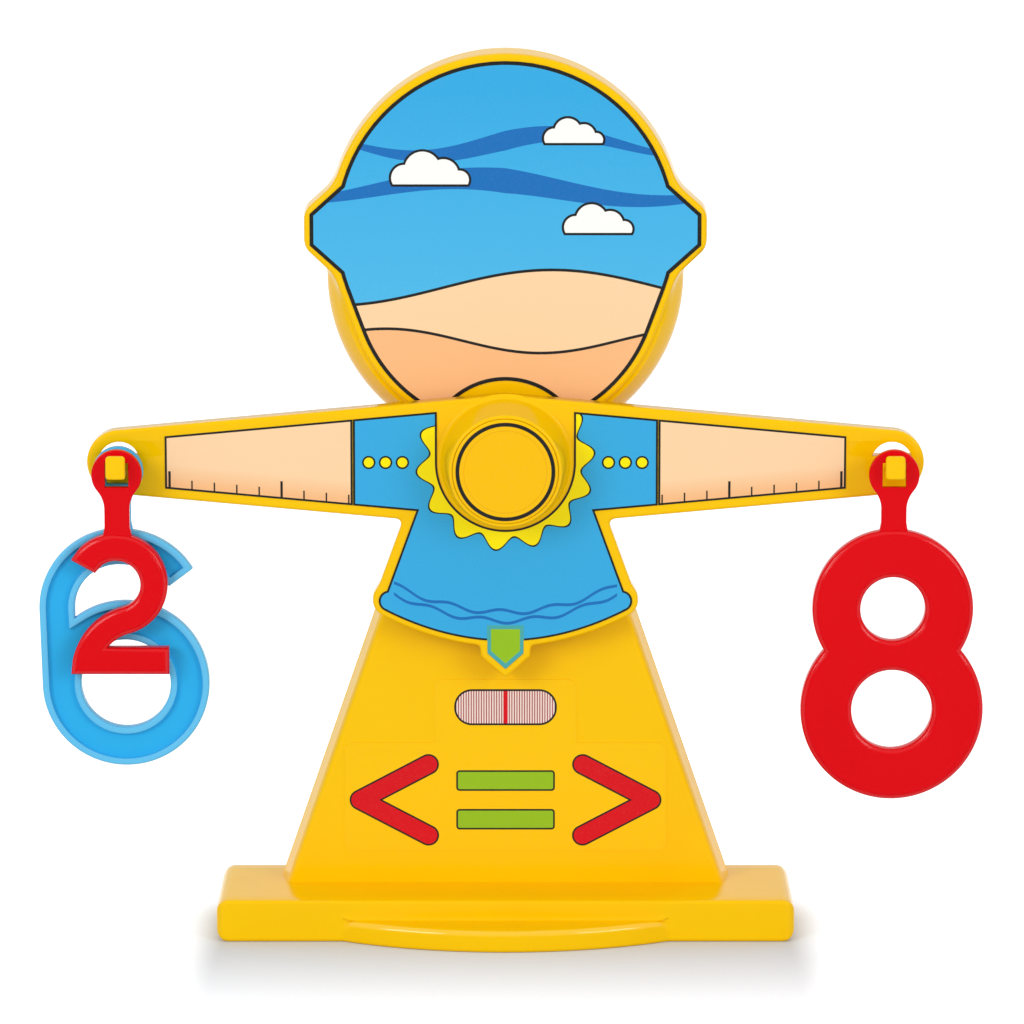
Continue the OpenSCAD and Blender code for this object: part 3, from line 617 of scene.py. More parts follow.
def foot_stations():
    """Places along x: close together on the rounded ends, and twice at the ends of the tray."""
    turn = quarter(10)
    right = foot_half - end_r + end_r * np.sin(turn)
    middle = np.linspace(-foot_half + end_r, foot_half - end_r, 161)[1:-1]
    x = np.concatenate([-right[::-1], middle, right])
    tray = np.abs(x) < tray_half
    x = np.concatenate([x, tray_half * np.array([-1, -1, 1, 1])])
    tray = np.concatenate([tray, [False, True, True, False]])
    order = np.lexsort((np.where(x < 0, tray, ~tray), x))
    return x[order], tray[order]


def foot_front(x):
    """The front of the section from bottom to top: push-out and height for every station.

    The toe stands out by sqrt(r squared - x squared) less the chord's distance. Its wall ends in a
    quarter circle, a flat ledge runs back from there, and a small fillet leads up the front.
    """
    toe = np.clip(np.sqrt(np.maximum(toe_r**2 - x**2, 0)) - toe_r + toe_deep, 0, None)[:, None]
    q = quarter(7)
    ledge = np.linspace(1, 0, 7)[1:-1]
    up = np.linspace(0, 1, 5)[1:]
    wall = np.concatenate([np.ones(4), np.ones(7), ledge, np.zeros(7), np.zeros(4)])
    curl = np.concatenate([np.ones(4), np.cos(q), np.zeros(5), np.zeros(7), np.zeros(4)])
    foot_fillet = np.concatenate([np.zeros(16), 1 - np.sin(q), np.zeros(4)])
    shoulder = toe_high - toe_edge
    crease = toe_high + toe_fillet
    high = np.concatenate([np.linspace(foot_edge, shoulder - 0.4, 4), shoulder + toe_edge * np.sin(q),
                           np.full(5, toe_high), toe_high + toe_fillet * (1 - np.cos(q)),
                           crease + (foot_high - foot_edge - crease) * up])
    push = wall * np.maximum(toe - toe_edge, 0) + curl * np.minimum(toe, toe_edge)
    push = np.maximum(push, foot_fillet * np.minimum(toe, toe_fillet))
    even = np.linspace(foot_edge, foot_high - foot_edge, len(high))
    share = np.clip(toe / 2, 0, 1)
    return push, even + (high - even) * share


def foot_shape():
    """The grid of sections: stations along x by points round the section, closed by end faces."""
    x, tray = foot_stations()
    push, front_high = foot_front(x)
    rows = len(x)
    q = quarter(6)
    low = foot_edge * (1 - np.cos(q))
    side = foot_depth - foot_edge * (1 - np.sin(q))
    wide = np.where(tray, tray_wide, sole_wide)[:, None]
    roof = np.where(tray, tray_deep, 0.0)[:, None]
    toe = push[:, :1]

    def flat(values):
        """The same values at every station."""
        return np.tile(values, (rows, 1))

    y = np.hstack([-wide, flat([-tray_wide]), -flat(side[:-1]) - toe, -foot_depth - push,
                   -flat(side[::-1][1:]), flat(np.linspace(-25, 25, 9)), flat(side[:-1]),
                   flat([foot_depth] * 3), flat(side[::-1]), flat([tray_wide]), wide])
    z = np.hstack([roof, flat([0.0]), flat(low[:-1]), front_high,
                   foot_high - flat(low[::-1][1:]), flat([foot_high] * 9), foot_high - flat(low[:-1]),
                   flat([14.0, 9.5, 5.0]), flat(low[::-1]), flat([0.0]), roof])
    over = np.maximum(np.abs(x) - foot_half + end_r, 0)[:, None]
    drop = end_r - np.sqrt(end_r**2 - over**2)
    past = np.maximum(np.abs(x) - foot_half + corner_r, 0)[:, None]
    thin = 1 - (corner_r - np.sqrt(corner_r**2 - past**2)) / foot_depth
    z = drop + (foot_high - 2 * drop) * z / foot_high
    points = np.stack([np.broadcast_to(x[:, None], y.shape), y * thin, z], -1) * mm
    count = y.shape[1]
    faces = bands(rows, count, 0)
    ends = [list(range(count)), list(range((rows - 1) * count, rows * count))]
    return points.reshape(-1, 3), faces + ends


def toe_rim(out, up):
    """The rounded edge of the toe: in front of the foot, and in the toe's topmost millimetres."""
    before = (out - foot_depth - 0.4).held()
    return before * (up - toe_high + toe_edge).held() * ((toe_high - up) * 4.0).held()


foot_plastic = moulded("foot_plastic", sun_yellow, deep_yellow, 0.13, 0.1, bright=toe_rim)
piece("foot", foot_shape(), foot_plastic, "stand", "yellow_plastic", "base_shell")
dress("base_plate", yellow_plastic)

# %% [markdown]
# ## The stand
# Post, head and ears are one hollow moulding in two halves that meet halfway back. Their outline is
# a wedge, two head circles with their tangents and a pair of blunt ears, grown together as a
# distance field. The sides lean outwards to the joint, as they must to come out of the mould, and most
# below the cheeks. So the field changes with depth: its share is 0 on a face and 1 at the joint.

# %% Stand
pivot = 215.5
post_half, post_low, post_high, lean, draft = 102.0, 10.0, 262.0, 0.346, 3.0
cheeks, cheek_r, bulge_r, crown, crown_r = 296.0, 71.5, 8.5, 317.5, 79.0
ear_z, ear_tip, ear_blunt, ear_slope = 318.0, 90.5, 8.5, 0.9
joint, rear, wall = -17.0, -33.0, 2.4


def egg_field(x, z, low, high):
    """Distance outside a circle at the cheeks and one at the crown, and outside their tangents."""
    tall = crown - cheeks
    slant = (low - high) / tall
    upright = math.sqrt(1 - slant**2)
    x, z = np.abs(x), z - cheeks
    along = upright * z - slant * x
    ends = np.where(along < 0, np.hypot(x, z) - low, np.hypot(x, z - tall) - high)
    return np.where((along >= 0) & (along <= upright * tall), upright * x + slant * z - low, ends)


def stand_field(x, z, share, low):
    """The smaller of the wedge's and the head's distances, with a fillet at the neck."""
    side = np.abs(x) - post_half + lean * (z - foot_high)
    wedge = side / math.hypot(1, lean) + draft * (1 - share)
    wedge = np.maximum(np.maximum(wedge, z - post_high), post_low - z)
    return blend_fields(wedge, egg_field(x, z, low, crown_r + share), 6)


def front_field(x, z, share=1.0):
    """The front half, whose face is narrow at the cheeks, with its ears: a slope and a blunt tip."""
    bulge = 1 - (1 - share)**1.5
    past, tall = np.abs(x) - ear_tip, np.abs(z - ear_z) - ear_blunt
    slope = (ear_slope * past + tall) / math.hypot(1, ear_slope)
    ears = np.maximum(-blend_fields(-slope, -past, 3), tall - 27) + 0.6 * (1 - share)
    return blend_fields(stand_field(x, z, share, cheek_r + bulge_r * bulge), ears, 3)


def back_field(x, z, share=1.0):
    """The back half, which has no ears and leans the same all round the head."""
    return stand_field(x, z, share, crown_r + share)


front_loop = grown(front_field, (0, 230), 900)
front_steps = [((2.8, 0), 0)] + [((inset, 0), out) for inset, out in front_edge(1.8, 0, 8)]
front_steps += [((0, t), joint * t) for t in np.linspace(0.15, 0.965, 8)]
front_steps += [((0, 1), joint + 0.35), ((0.4, 1), joint), ((wall, 1), joint), ((wall, 0.1), -2.8)]
axle_boss = turned(0, pivot, [(9, -1), (9, 4), (8.6, 4.4)])
stop_peg = turned(0, pivot - 45, [(3.5, -1), (3.5, 11.2), (2.9, 11.8)], 48)
stand_front = joined(mould((front_loop, front_steps)), axle_boss, stop_peg)
piece("stand_front", stand_front, yellow_plastic, "stand", "yellow_plastic", "stand_front_shell")

back_loop = grown(back_field, (0, 230), 900)
back_steps = [((wall, 0.4), rear + 6), ((wall, 1), joint), ((0.4, 1), joint), ((0, 1), joint - 0.35)]
back_steps += [((0.1, 1), joint - 0.6), ((0, 0.1), rear + 2.4)]
back_steps += [((inset, 0), out) for inset, out in back_edge(1.8, rear, 8)] + [((2.8, 0), rear)]
sinks = [(77.2, 43), (-77.2, 43), (45.5, 125.5), (-45.5, 125.5), (56, 318), (-56, 318), (0, 370.3)]
wells = [arc(x, z, 3.3, 360, 0, 33)[:-1] for x, z in sinks]
stand_back = mould((back_loop, back_steps), pockets=wells, depth=-28.6)
piece("stand_back", stand_back, yellow_plastic, "stand", "yellow_plastic", "stand_back_shell")

# %% [markdown]
# ## The beam
# Two tapering arms, a skirt with a curved hem and a pointer make one thin moulding that is open
# behind. We grow its outline as a field too, roll it over a rounded front edge, down the side and
# into the hollow back, and leave a half-moon hole over each hook.

# %% Beam plate
reach, hub, tip = 172.5, 30.0, 14.4
neck_r, hook_drop = 4.3, 2.0
hook_z = pivot - hook_drop
torso_half, torso_z, torso_cos, torso_sin = 45.0, -24.0, 0.9394, 0.343
torso_top, torso_low, fill_top = -12.0, -60.0, -57.0
hem_half, hem_end, hem_sag, hem_r = 52.0, -63.0, 13.5, 7.5
pointer_half, pointer_low, pointer_top = 11.2, -98.3, -60.0
point_x, point_z = 0.666, 0.746
arm_sin = (hub - tip) / reach
arm_cos = math.sqrt(1 - arm_sin**2)


def arms_field(x, z):
    """Two tapering arms: the distance to circles at hub and tip, and to their tangent between them."""
    x, z = np.abs(x), np.abs(z)
    along = arm_cos * x - arm_sin * z
    between = arm_cos * z + arm_sin * x - hub
    ends = np.where(along < 0, np.hypot(x, z) - hub, np.hypot(x - reach, z) - tip)
    return np.where((along >= 0) & (along <= arm_cos * reach), between, ends)


def hem_line(x):
    """The height of the hem's middle line: a parabola through its ends."""
    return hem_end - hem_sag * (1 - (x / hem_half)**2)


def skirt_field(x, z):
    """The flaring torso, and a round-ended hem strung along a parabola."""
    side = (np.abs(x) - torso_half) * torso_cos + (z - torso_z) * torso_sin
    torso = np.maximum(np.maximum(side, z - torso_top), torso_low - z)
    beads = np.linspace(-hem_half, hem_half, 121)
    hem = np.min(np.hypot(x[..., None] - beads, z[..., None] - hem_line(beads)), -1) - hem_r
    fill = np.maximum(np.maximum(np.abs(x) - hem_half, z - fill_top), hem_line(x) - z)
    return blend_fields(torso, np.minimum(hem, fill), 2)


def pointer_field(x, z):
    """A strip with a point: the greater of the distances to its sides and to its sloping tip."""
    point = point_x * np.abs(x) - point_z * (z - pointer_low)
    return np.maximum(np.maximum(np.abs(x) - pointer_half, point), z - pointer_top)


def beam_field(x, z):
    """Arms, skirt and pointer together, measured from the pivot."""
    body = blend_fields(arms_field(x, z - pivot), skirt_field(x, z - pivot), 4)
    return blend_fields(body, pointer_field(x, z - pivot), 2.5)


def half_moon(x):
    """The hole over a hook: a circle about the arm's end, cut off a little above its middle."""
    moon_r, slack = 9.2, 0.4
    start = math.degrees(math.asin((neck_r - hook_drop + slack) / moon_r))
    return drawn(arc(x, pivot, moon_r, 180 - start, start, 40))


face, back = 16.0, 6.0
beam_loop = grown(beam_field, (0, pivot), 1400)
beam_steps = [(2.2, face)] + front_edge(1.4, face, 7) + [(0, 14.3), (0, 6.4), (0.25, back)]
beam_steps += [(1.95, back), (2.2, 6.3), (2.2, 13.4), (2.6, 13.8), (3.2, 13.8)]
moon_steps = [(0.5, face), (0.15, 15.85), (0, 15.5), (0, 13.8)]
moons = [half_moon(-reach), half_moon(reach)]
plate = mould((beam_loop, beam_steps), *[(moon, moon_steps) for moon in moons])
print("beam plate:", len(plate[0]), "points")

# %% [markdown]
# ## Hub, hooks and ribs
# The hub is a tapering drum for the bearing. It is turned like a pot, from a profile that starts in
# a small fillet on the plate. The hooks are short gutters with a raised lip, and the ribs are thin
# walls that keep the open back stiff. They are joined to the plate as one moulding.

# %% Hub, hooks and ribs
def rail(x0, x1, z0, z1, out0, out1, turn=0.0):
    """A thin wall: a rectangle about the pivot, turned by an angle, from out0 to out1."""
    flat = np.array([[x0, z0], [x1, z0], [x1, z1], [x0, z1]])
    c, s = math.cos(math.radians(turn)), math.sin(math.radians(turn))
    flat = flat @ np.array([[c, s], [-s, c]]) + [0, pivot]
    return mould((drawn(flat), [(0, out0), (0, out1 - 0.3), (0.3, out1)]))


q = quarter(7)
drum = [(30.9, 15.4)] + list(zip(28.5 + 2.2 * (1 - np.sin(q)), face + 2.2 * (1 - np.cos(q))))
drum += list(zip(24.3 + 0.8 * np.cos(q), 39.7 + 0.8 * np.sin(q)))
drum += [(23.7, 40.5), (23.55, 40.35), (23.55, 39.25), (21.4, 39.25), (21.4, 15.4)]
sleeve = [(6.2, 6), (6.2, 35.6), (5.8, 36), (3.4, 36), (3.05, 35.6), (3.05, 6)]


def hook(x):
    """A gutter, round above and hollow below, with a rounded block for its lip."""
    z, low, bore, half, corner = hook_z, 1.7, 2.5, 2.7, 1.6
    side = math.degrees(math.asin(low / neck_r))
    gutter = drawn(arc(x, z, neck_r, -side, 180 + side, 25),
                   np.array([[x - bore, z - low], [x - bore, z], [x + bore, z], [x + bore, z - low]]))
    corners = ((half, -0.1, -90), (half, 7.1, 0), (-half, 7.1, 90), (-half, -0.1, 180))
    block = drawn(*[arc(x + dx, z + dz, corner, turn, turn + 90, 7) for dx, dz, turn in corners])
    lip = [(1.5, 41.5)] + front_edge(0.9, 41.5, 5) + back_edge(0.5, 38.5, 4) + [(1.2, 38.5)]
    return joined(mould((gutter, [(0, 15), (0, 39.4)])), mould((block, lip)))


collars = [mould((drawn(arc(x, pivot, 11.4, 0, 360, 65)[:-1]), [(0, 14.4), (0, 6.3), (0.3, 6)]),
                 (moon, [(0, 14.4), (0, 6.3), (0, 6)])) for x, moon in zip((-reach, reach), moons)]
ribs = [rail(s * 21.4, s * 162.0, -0.9, 0.9, 14.9, 7) for s in (-1, 1)]
ribs += [rail(s * reach * t - 0.9, s * reach * t + 0.9, -28.9 + 15.6 * t, 28.9 - 15.6 * t, 14.9, 8)
         for s in (-1, 1) for t in (0.35, 0.55, 0.75)]
ribs += [rail(s * 13.2, s * 15.0, -54, -36, 14.9, 7) for s in (-1, 1)]
ribs += [rail(5.2, 22.4, -0.9, 0.9, 24, 6, turn) for turn in range(0, 360, 60)]
beam = joined(plate, turned(0, pivot, drum, 128, True), turned(0, pivot, sleeve, 64, True),
              hook(-reach), hook(reach), *collars, *ribs)
piece("beam_moulding", beam, yellow_plastic, "beam", "yellow_plastic", "beam")

q = quarter(6)
lid_profile = [(21.0, 39.3), (23.2, 39.3), (23.4, 39.5)]
lid_profile += list(zip(22.6 + 0.8 * np.cos(q), 40.9 + 0.8 * np.sin(q))) + [(21.8, 41.7)]
lid = turned(0, pivot, lid_profile, 128)
plug = turned(0, pivot, [(21.25, 40), (21.25, 35.6), (20.9, 35.3), (19.4, 35.3), (19.4, 40)], 96, True)
piece("hub_lid", joined(lid, plug), yellow_plastic, "beam", "yellow_plastic", "hub_cap")

# %% [markdown]
# ## The numbers
# The numbers are the weights. Each is a stroke of its own width with one plain, rounded side and one
# hollow side with a rim, and the depth of the hollow sets how heavy it is. Their outlines are arcs
# and lines, and the rim, wall and floor of the hollow come from the steps.

# %% Numbers
def placed(x, z, *parts, clear=0.0):
    """The parts of an outline moved to a hook."""
    return drawn(*[np.asarray(part) + [x, z] for part in parts], clear=clear)


def number_steps(plain, hollow, floor):
    """Steps from the plain side to the floor of the hollow; floor is where the hollow ends."""
    outward = math.copysign(1, plain - hollow)
    turn = quarter(6)

    def curl(r):
        """A rounded edge: how far it is drawn in and how far it falls back."""
        return list(zip(r * (1 - np.cos(turn)), r * (1 - np.sin(turn))))

    steps = [(3.2, plain), (2.3, plain)]
    steps += [(i, plain - outward * (o + 0.3)) for i, o in curl(1.9)[::-1]]
    steps += [(i, hollow + outward * o) for i, o in curl(1.0)]
    steps += [(2.5, hollow), (2.85, hollow + outward * 0.15), (3, hollow + outward * 0.5)]
    steps += [(3, floor - outward * 0.5), (3.2, floor - outward * 0.15)]
    return steps + [(3.6, floor), (4.2, floor)]


def stem(x, z, low, front):
    """The flat stem and the eye with its square slot; fillets touch the eye's circle and the stem."""
    eye_z, eye_r, stem_half, fillet_r = -0.9, 11.2, 5.6, 13.0
    rear = front - 5
    aside = stem_half + fillet_r
    touch = math.degrees(math.acos(aside / (eye_r + fillet_r)))
    fillet_z = eye_z - (eye_r + fillet_r) * math.sin(math.radians(touch))

    def edged(r, inset, count):
        """Steps through the stem with both of its edges rounded by r."""
        near = [(inset, front)] + front_edge(r, front, count)
        return near + back_edge(r, rear, count) + [(inset, rear)]

    outer = placed(x, z, [[-6.7, low], [6.7, low], [stem_half, low + 5.6]],
                   arc(aside, fillet_z, fillet_r, 180, 180 - touch, 9),
                   arc(0, eye_z, eye_r, -touch, 180 + touch, 61),
                   arc(-aside, fillet_z, fillet_r, touch, 0, 9), [[-stem_half, low + 5.6]])
    slot = placed(x, z, [[-5.2, 4.6], [5.2, 4.6], [5.2, -6.4], [-5.2, -6.4]])
    return mould((outer, edged(0.8, 1.3, 5)), (slot, edged(0.4, 0.7, 4)))


def weight(outline, holes, steps, hanger):
    """A number and its holes, all carried through the same steps, with its stem."""
    return joined(mould((outline, steps), *[(hole, steps) for hole in holes]), hanger)


def two_outline():
    """A bowl that runs on into a sweep down to the base, on either side of a middle line.

    The sweep is a circle about a point at the base's level. Its radius follows from touching the
    bowl: (lead + sweep) squared + height squared = (bowl_r + sweep) squared.
    """
    left, right, base, half = -21.2, 22.5, -90.9, 6.05
    bowl_x, bowl_z, bowl_r, end = -0.7, -50.25, 16.8, 151
    lead = left + half - bowl_x
    sweep = (lead**2 + (bowl_z - base)**2 - bowl_r**2) / (2 * (bowl_r - lead))
    sweep_x = bowl_x + lead + sweep
    turn = math.degrees(math.atan2(base - bowl_z, sweep_x - bowl_x))
    foot_turn = 180 - math.degrees(math.asin(2 * half / (sweep - half)))
    return placed(-reach, hook_z, [[left, base], [right, base], [right, base + 2 * half]],
                  arc(sweep_x, base, sweep - half, foot_turn, turn + 180, 9),
                  arc(bowl_x, bowl_z, bowl_r + half, turn, end, 60),
                  arc(bowl_x, bowl_z, bowl_r - half, end, turn, 50),
                  arc(sweep_x, base, sweep + half, turn + 180, 180, 20)[:-1], clear=4.6)


def six_outline():
    """The six and its hole: a bow that flattens towards its tip, a straight back and a round bowl."""
    top_z, outer_r, inner_r = -62.4, 35.7, 19.9
    bowl_x, bowl_z, bowl_r, hole_r = 2.6, -96.7, 37.3, 20
    bow = np.radians(np.linspace(30, 90, 24))[:-1]
    outer_bow = np.column_stack([37.9 * np.cos(bow), top_z + outer_r * np.sin(bow)])
    inner_bow = np.column_stack([25.9 * np.cos(bow), top_z + inner_r * np.sin(bow)])
    six = placed(-reach, hook_z, outer_bow, arc(0, top_z, outer_r, 90, 180, 36),
                 arc(bowl_x, bowl_z, bowl_r, 181.7, 487.1, 110),
                 arc(0, top_z, inner_r, 180, 90, 30), inner_bow[::-1], clear=4.6)
    return six, [placed(-reach, hook_z, arc(bowl_x, bowl_z, hole_r, 360, 0, 97)[:-1])]


def eight_outline():
    """The eight and its holes: two circles up to the points where they cross, found from both radii."""
    high_z, high_r, low_z, low_r = -61.3, 35.8, -107.0, 40.7
    apart = high_z - low_z
    above = (apart**2 + high_r**2 - low_r**2) / (2 * apart)
    upper = math.degrees(math.acos(above / high_r))
    lower = math.degrees(math.acos((apart - above) / low_r))
    eight = placed(reach, hook_z, arc(0, high_z, high_r, upper - 90, 270 - upper, 90),
                   arc(0, low_z, low_r, 90 + lower, 450 - lower, 110))
    circles = ((high_z, 14.4), (low_z, 18))
    return eight, [placed(reach, hook_z, arc(0, z, r, 360, 0, 97)[:-1]) for z, r in circles]


two_shape = weight(two_outline(), [], number_steps(35.5, 27.5, 33.38), stem(-reach, hook_z, -29.8, 34))
six_shape = weight(*six_outline(), number_steps(18.5, 26.5, 23.95), stem(-reach, hook_z, -29.0, 25))
eight_shape = weight(*eight_outline(), number_steps(35.5, 27.5, 29.87), stem(reach, hook_z, -27.9, 34))
piece("two_weight", two_shape, red_plastic, "two", "red_plastic", "number_two")
piece("six_weight", six_shape, blue_plastic, "six", "blue_plastic", "number_six")
piece("eight_weight", eight_shape, red_plastic, "eight", "red_plastic", "number_eight")

# %% [markdown]
# ## Printed labels
# Glossy film labels carry the colours of the toy. They stay CAD pieces, and only their print is made
# here. A print could be an image, but drawn as distances it stays sharp at any size: each shape is a
# sum that is negative inside, `inked` turns it into a mask, and masks lay one ink over another.

# %% How a label is printed
def printed(name, draw):
    """A film label: the drawing at x, z in mm, faint speckle in the ink, and a drifting gloss."""
    material, shader, place = start_material(name)
    x = place.part(0) * 1000.0
    z = place.part(2) * 1000.0
    speck = ((noise(place, 0.9, 3.0) - 0.5) * 0.06).held()
    feed(place, shader, "Base Color", speck.over(draw(x, z), ink_white))
    feed(place, shader, "Roughness", 0.3 + (noise(place, 24, 2.0) - 0.5) * 0.12)
    shader.inputs["Specular IOR Level"].default_value = 0.14
    return material


def stroke(x, z, x0, z0, x1, z1):
    """The distance to a straight stroke between two points."""
    dx, dz = x1 - x0, z1 - z0
    t = (((x - x0) * dx + (z - z0) * dz) / (dx * dx + dz * dz)).held()
    return length(x - x0 - t * dx, z - z0 - t * dz)


def line(distance, wide, colour, ink=ink_black):
    """A line of ink, wide mm across, where a distance is near 0."""
    return inked(abs(distance) - wide / 2).over(colour, ink)


def outlined(distance, wide, colour, ink):
    """A shape filled with ink and drawn round with a black line, laid over a colour."""
    return line(distance, wide, inked(distance).over(colour, ink))


def bordered(distance, wide, colour):
    """A black border, wide mm across, inside the edge of a label and all beyond it."""
    return inked(-wide - distance).over(colour, ink_black)


def boxed(x, z, half_w, half_h, r):
    """The distance outside a box with round corners, as nodes."""
    qx, qz = abs(x) - (half_w - r), abs(z) - (half_h - r)
    return length(qx.most(0.0), qz.most(0.0)) + qx.most(qz).least(0.0) - r


print("printing needs", len([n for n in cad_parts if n.endswith("label")]), "labels")

# %% [markdown]
# ## The head's print
# The head carries a bright landscape: sky with two bands of wind, three clouds, and dunes below. Hills
# and bands are sine waves, a cloud is a few circles with a flat bottom, and a bold black line
# follows the label's edge.

# %% Head print
def cloud(x, z, at_x, at_z, size):
    """Four circles cut off flat below."""
    puffs = [(-1.3, 0.15, 0.75), (-0.35, 0.6, 1.0), (0.75, 0.35, 0.85), (1.6, 0.05, 0.55)]
    spots = [length(x - at_x - size * dx, z - at_z - size * dz) - size * r for dx, dz, r in puffs]
    puff = spots[0].least(spots[1]).least(spots[2]).least(spots[3])
    return puff.most(at_z - 0.25 * size - z)


def head_print(x, z):
    """Sky, wind, clouds and dunes, each laid over the last, inside a bold outline."""
    wide = abs(x)
    gap = 3.15
    low_r, high_r, tall = cheek_r - gap, crown_r - gap, crown - cheeks
    slant = (low_r - high_r) / tall
    upright = math.sqrt(1 - slant**2)
    along = (z - cheeks) * upright - wide * slant
    side = (wide * upright + (z - cheeks) * slant - low_r).most(-along).most(along - upright * tall)
    past, rise = wide - ear_tip, abs(z - ear_z) - ear_blunt
    ears = ((past * ear_slope + rise) / 1.345 + gap).most(past + gap).most(rise - 22.9)
    edge = side.least(length(x, z - cheeks) - low_r).least(length(x, z - crown) - high_r).least(ears)
    edge = edge.most(34.5 - length(x, z - pivot))
    height = ((z - 290.0) / 90.0).held()
    colour = height.over(paint("#4fb9ea"), ink_blue)
    for level, pitch, shift, thick in ((356, 19, 0.4, 4.4), (336, 26, 2.2, 5.6)):
        wind = z - (level + (x / pitch + shift).wave() * 5.0)
        colour = inked(abs(wind) - (thick - wide * 0.045)).over(colour, ink_navy)
    for at_x, at_z, size in ((-34, 340, 8.5), (30, 358, 6.5), (41, 318, 7.5)):
        puff = cloud(x, z, at_x, at_z, size)
        colour = outlined(puff, 1.1, colour, ink_white)
    dunes = ((292, 31, 0.9, 8.0, ink_peach), (268, 22, 4.0, 5.5, ink_sand))
    for level, pitch, shift, swell, ink in dunes:
        dune = z - (level + (x / pitch + shift).wave() * swell)
        colour = outlined(dune, 1.3, colour, ink)
    return bordered(edge, 1.7, colour)


dress("head_label", printed("head_print", head_print))
print("head printed")

# %% [markdown]
# ## The beam's print
# The middle of the beam is blue, with a sun round the hub, three dots to count on either side, waves
# along the hem and a short green arrow on the pointer's tip. The arms are peach, with marks every ten
# millimetres, so that a child can see that the hooks are equally far out.

# %% Beam print
print_half, print_end, hub_clear, hem_clear = 25.5, 68.0, 30.6, 4.8


def body_print(x, z):
    """The blue panel with sun, dots, waves and arrow; z is measured from the pivot below."""
    z = z - pivot
    far = length(x, z)
    wide = abs(x)
    arms = (abs(z) * arm_cos + wide * arm_sin - print_half).most(wide - print_end)
    torso = (wide - torso_half) * torso_cos + (z - torso_z) * torso_sin + 4.2
    sag = (x * x) * (hem_sag / hem_half**2) + (hem_end - hem_sag)
    slope = x * (2 * hem_sag / hem_half**2)
    hem = ((sag - z) / length(1.0, slope) - hem_clear).most(z + 58.2).most(wide - 53.5)
    hem = hem.least(length((wide - hem_half).most(0.0), z - hem_end) - hem_clear)
    edge = arms.least(torso.most(-66.75 - z)).least(hem).most(hub_clear - length(x, z.least(0.0)))
    colour = ink_blue
    for rise in (4.5, 8.5):
        wave = z - sag - rise - (x / 3.6 + rise).wave() * 1.1
        colour = inked((abs(wave) - 0.7).most(wide - 50.0)).over(colour, ink_navy)
    sun_r, sun_rays, ray_high = 37.0, 14.0, 3.0
    turn = x.sum("ARCTAN2", z, x)
    rays = far - sun_r - (turn * sun_rays).wave() * ray_high
    colour = outlined(rays, 0.8, colour, ink_lemon)
    for dot_x in (46.0, 53.5, 61.0):
        dot = length(wide - dot_x, z) - 2.6
        colour = outlined(dot, 0.8, colour, ink_lemon)
    colour = bordered(edge, 0.9, colour)
    arrow_half, arrow_low, arrow_top = 8.3, -94.0, -74.0
    arrow = (wide - arrow_half).most(wide * point_x - (z - arrow_low) * point_z).most(z - arrow_top)
    colour = inked(arrow).over(colour, ink_teal)
    return inked(arrow + 1.8).over(colour, ink_green)


def arm_print(x, z):
    """A peach band with a thin outline and marks along its lower edge."""
    z = z - pivot
    wide = abs(x)
    edge = (abs(z) * arm_cos + wide * arm_sin - print_half).most(wide - 152.0).most(68.3 - wide)
    low = z + print_half - wide * arm_sin
    step = wide - wide.sum("SNAP", wide + 5.0, 10.0)
    every = wide - wide.sum("SNAP", wide + 25.0, 50.0)
    marks = (abs(step) - 0.35).most(low - 4.6)
    marks = marks.least((abs(every) - 0.55).most(low - 8.0))
    shade = ((low - 2.0) / 9.0).held()
    colour = shade.over(ink_sand, ink_peach)
    colour = inked(marks).over(colour, ink_black)
    return bordered(edge, 0.9, colour)


def hub_print(x, z):
    """A bold black ring near the rim of the lid, and a fine one inside it."""
    far = length(x, z - pivot)
    colour = line(far - 21.2, 1.7, deep_yellow)
    return line(far - 18.4, 0.5, colour, paint("#f2b400"))


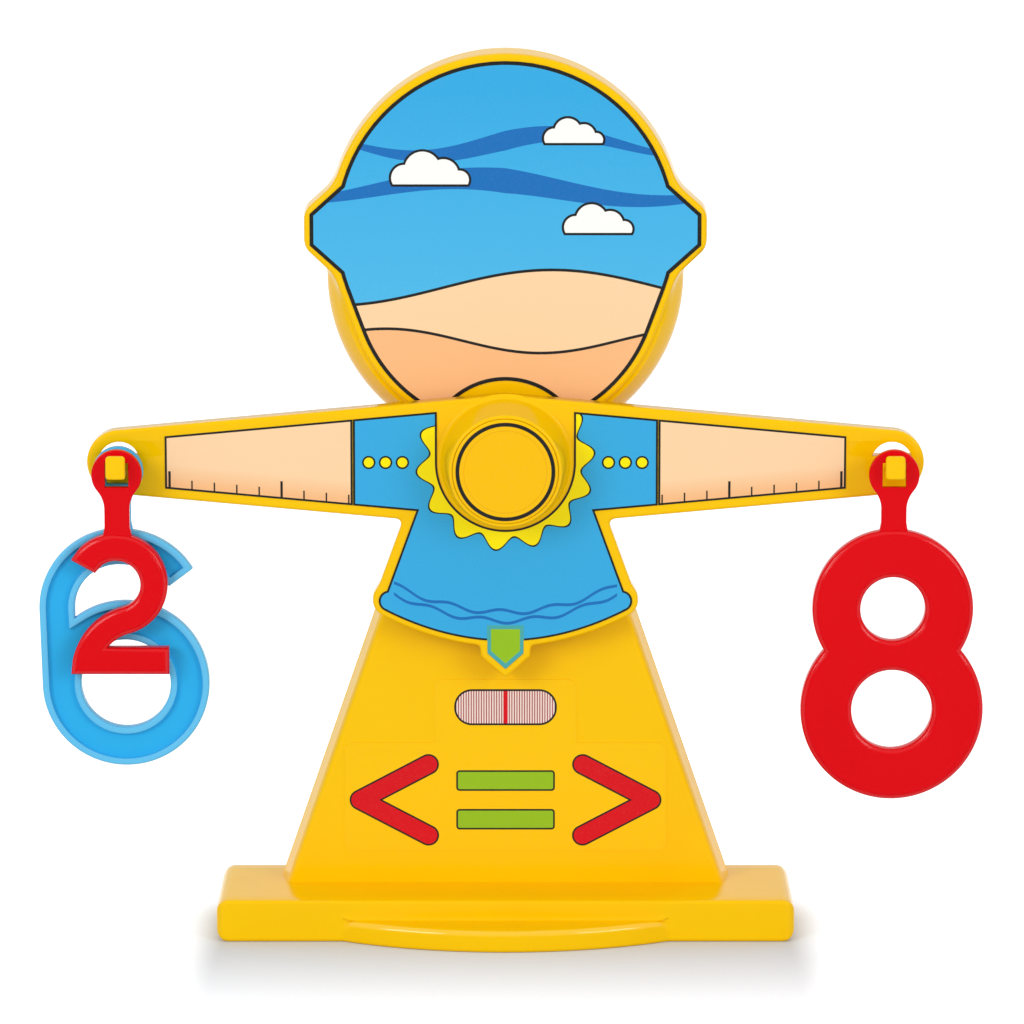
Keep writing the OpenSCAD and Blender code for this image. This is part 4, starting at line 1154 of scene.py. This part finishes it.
def film_outline():
    """The body's label: its right half from the arrow's side round to the hub, then the left half."""
    tip_half, tip_side, tip_low = 8.05, -86.89, -94.08
    steep = 2 * hem_sag / hem_half
    t = np.linspace(0.148, 1, 40)[:-1]
    a = np.arctan(t * steep)
    hem_x = hem_half * t
    hem = np.column_stack([hem_x + hem_clear * np.sin(a), hem_line(hem_x) - hem_clear * np.cos(a)])
    end = arc(hem_half, hem_end, hem_clear, math.degrees(math.atan(steep)) - 90, 77.2, 14)
    outer_z, inner_z = ((print_half - arm_sin * x) / arm_cos for x in (print_end, hub_clear))
    arm_part = [[39.8, -22], [print_end, -outer_z], [print_end, outer_z], [hub_clear, inner_z]]
    notch = arc(0, 0, hub_clear, 0, -90, 40)
    right = np.concatenate([[[tip_half, tip_side]], hem, end, arm_part, notch])
    left = right[::-1] * [-1, 1]
    return np.concatenate([right, left, [[0, tip_low]]]) + [0, pivot]


film = mould((drawn(film_outline()), [(0, face + 0.3), (0, face)]))
piece("body_film", film, printed("body_print", body_print), "beam", "shirt_print", "shirt_label")
dress("left_arm_label", printed("left_arm_print", arm_print))
dress("right_arm_label", printed("right_arm_print", arm_print))
dress("hub_label", printed("hub_print", hub_print))
print("beam printed")

# %% [markdown]
# ## The dial's print
# The pointer hangs over a striped window with a red line in its middle. Below it are the three signs
# that a balance can answer with: less than, equal, greater than.

# %% Dial print
def dial_print(x, z):
    """Stripes in a pill-shaped window, and three signs made of straight strokes."""
    window = boxed(x, z - 100.5, 22.8, 7.9, 7.6)
    pitch = 1.15
    stripe = abs(x / pitch - x.sum("FLOOR", x / pitch) - 0.5) * pitch - 0.24
    inside = inked(stripe).over(paint("#f3e3dc"), paint("#a33a3c"))
    inside = inked(abs(x) - 1.0).over(inside, ink_red)
    colour = outlined(window, 0.9, sun_yellow, inside)
    side, up = abs(x), abs(z - 57.5)
    arrow = stroke(side, up, 66.0, 0.0, 35.0, 16.5) - 4.4
    equal = boxed(x, up - 9.0, 22.0, 4.4, 1.2)
    colour = outlined(arrow, 0.8, colour, ink_red)
    return outlined(equal, 0.8, colour, ink_green)


dress("dial_label", printed("dial_print", dial_print))
print("dial printed")

# %% [markdown]
# The looks must not change the toy's size.
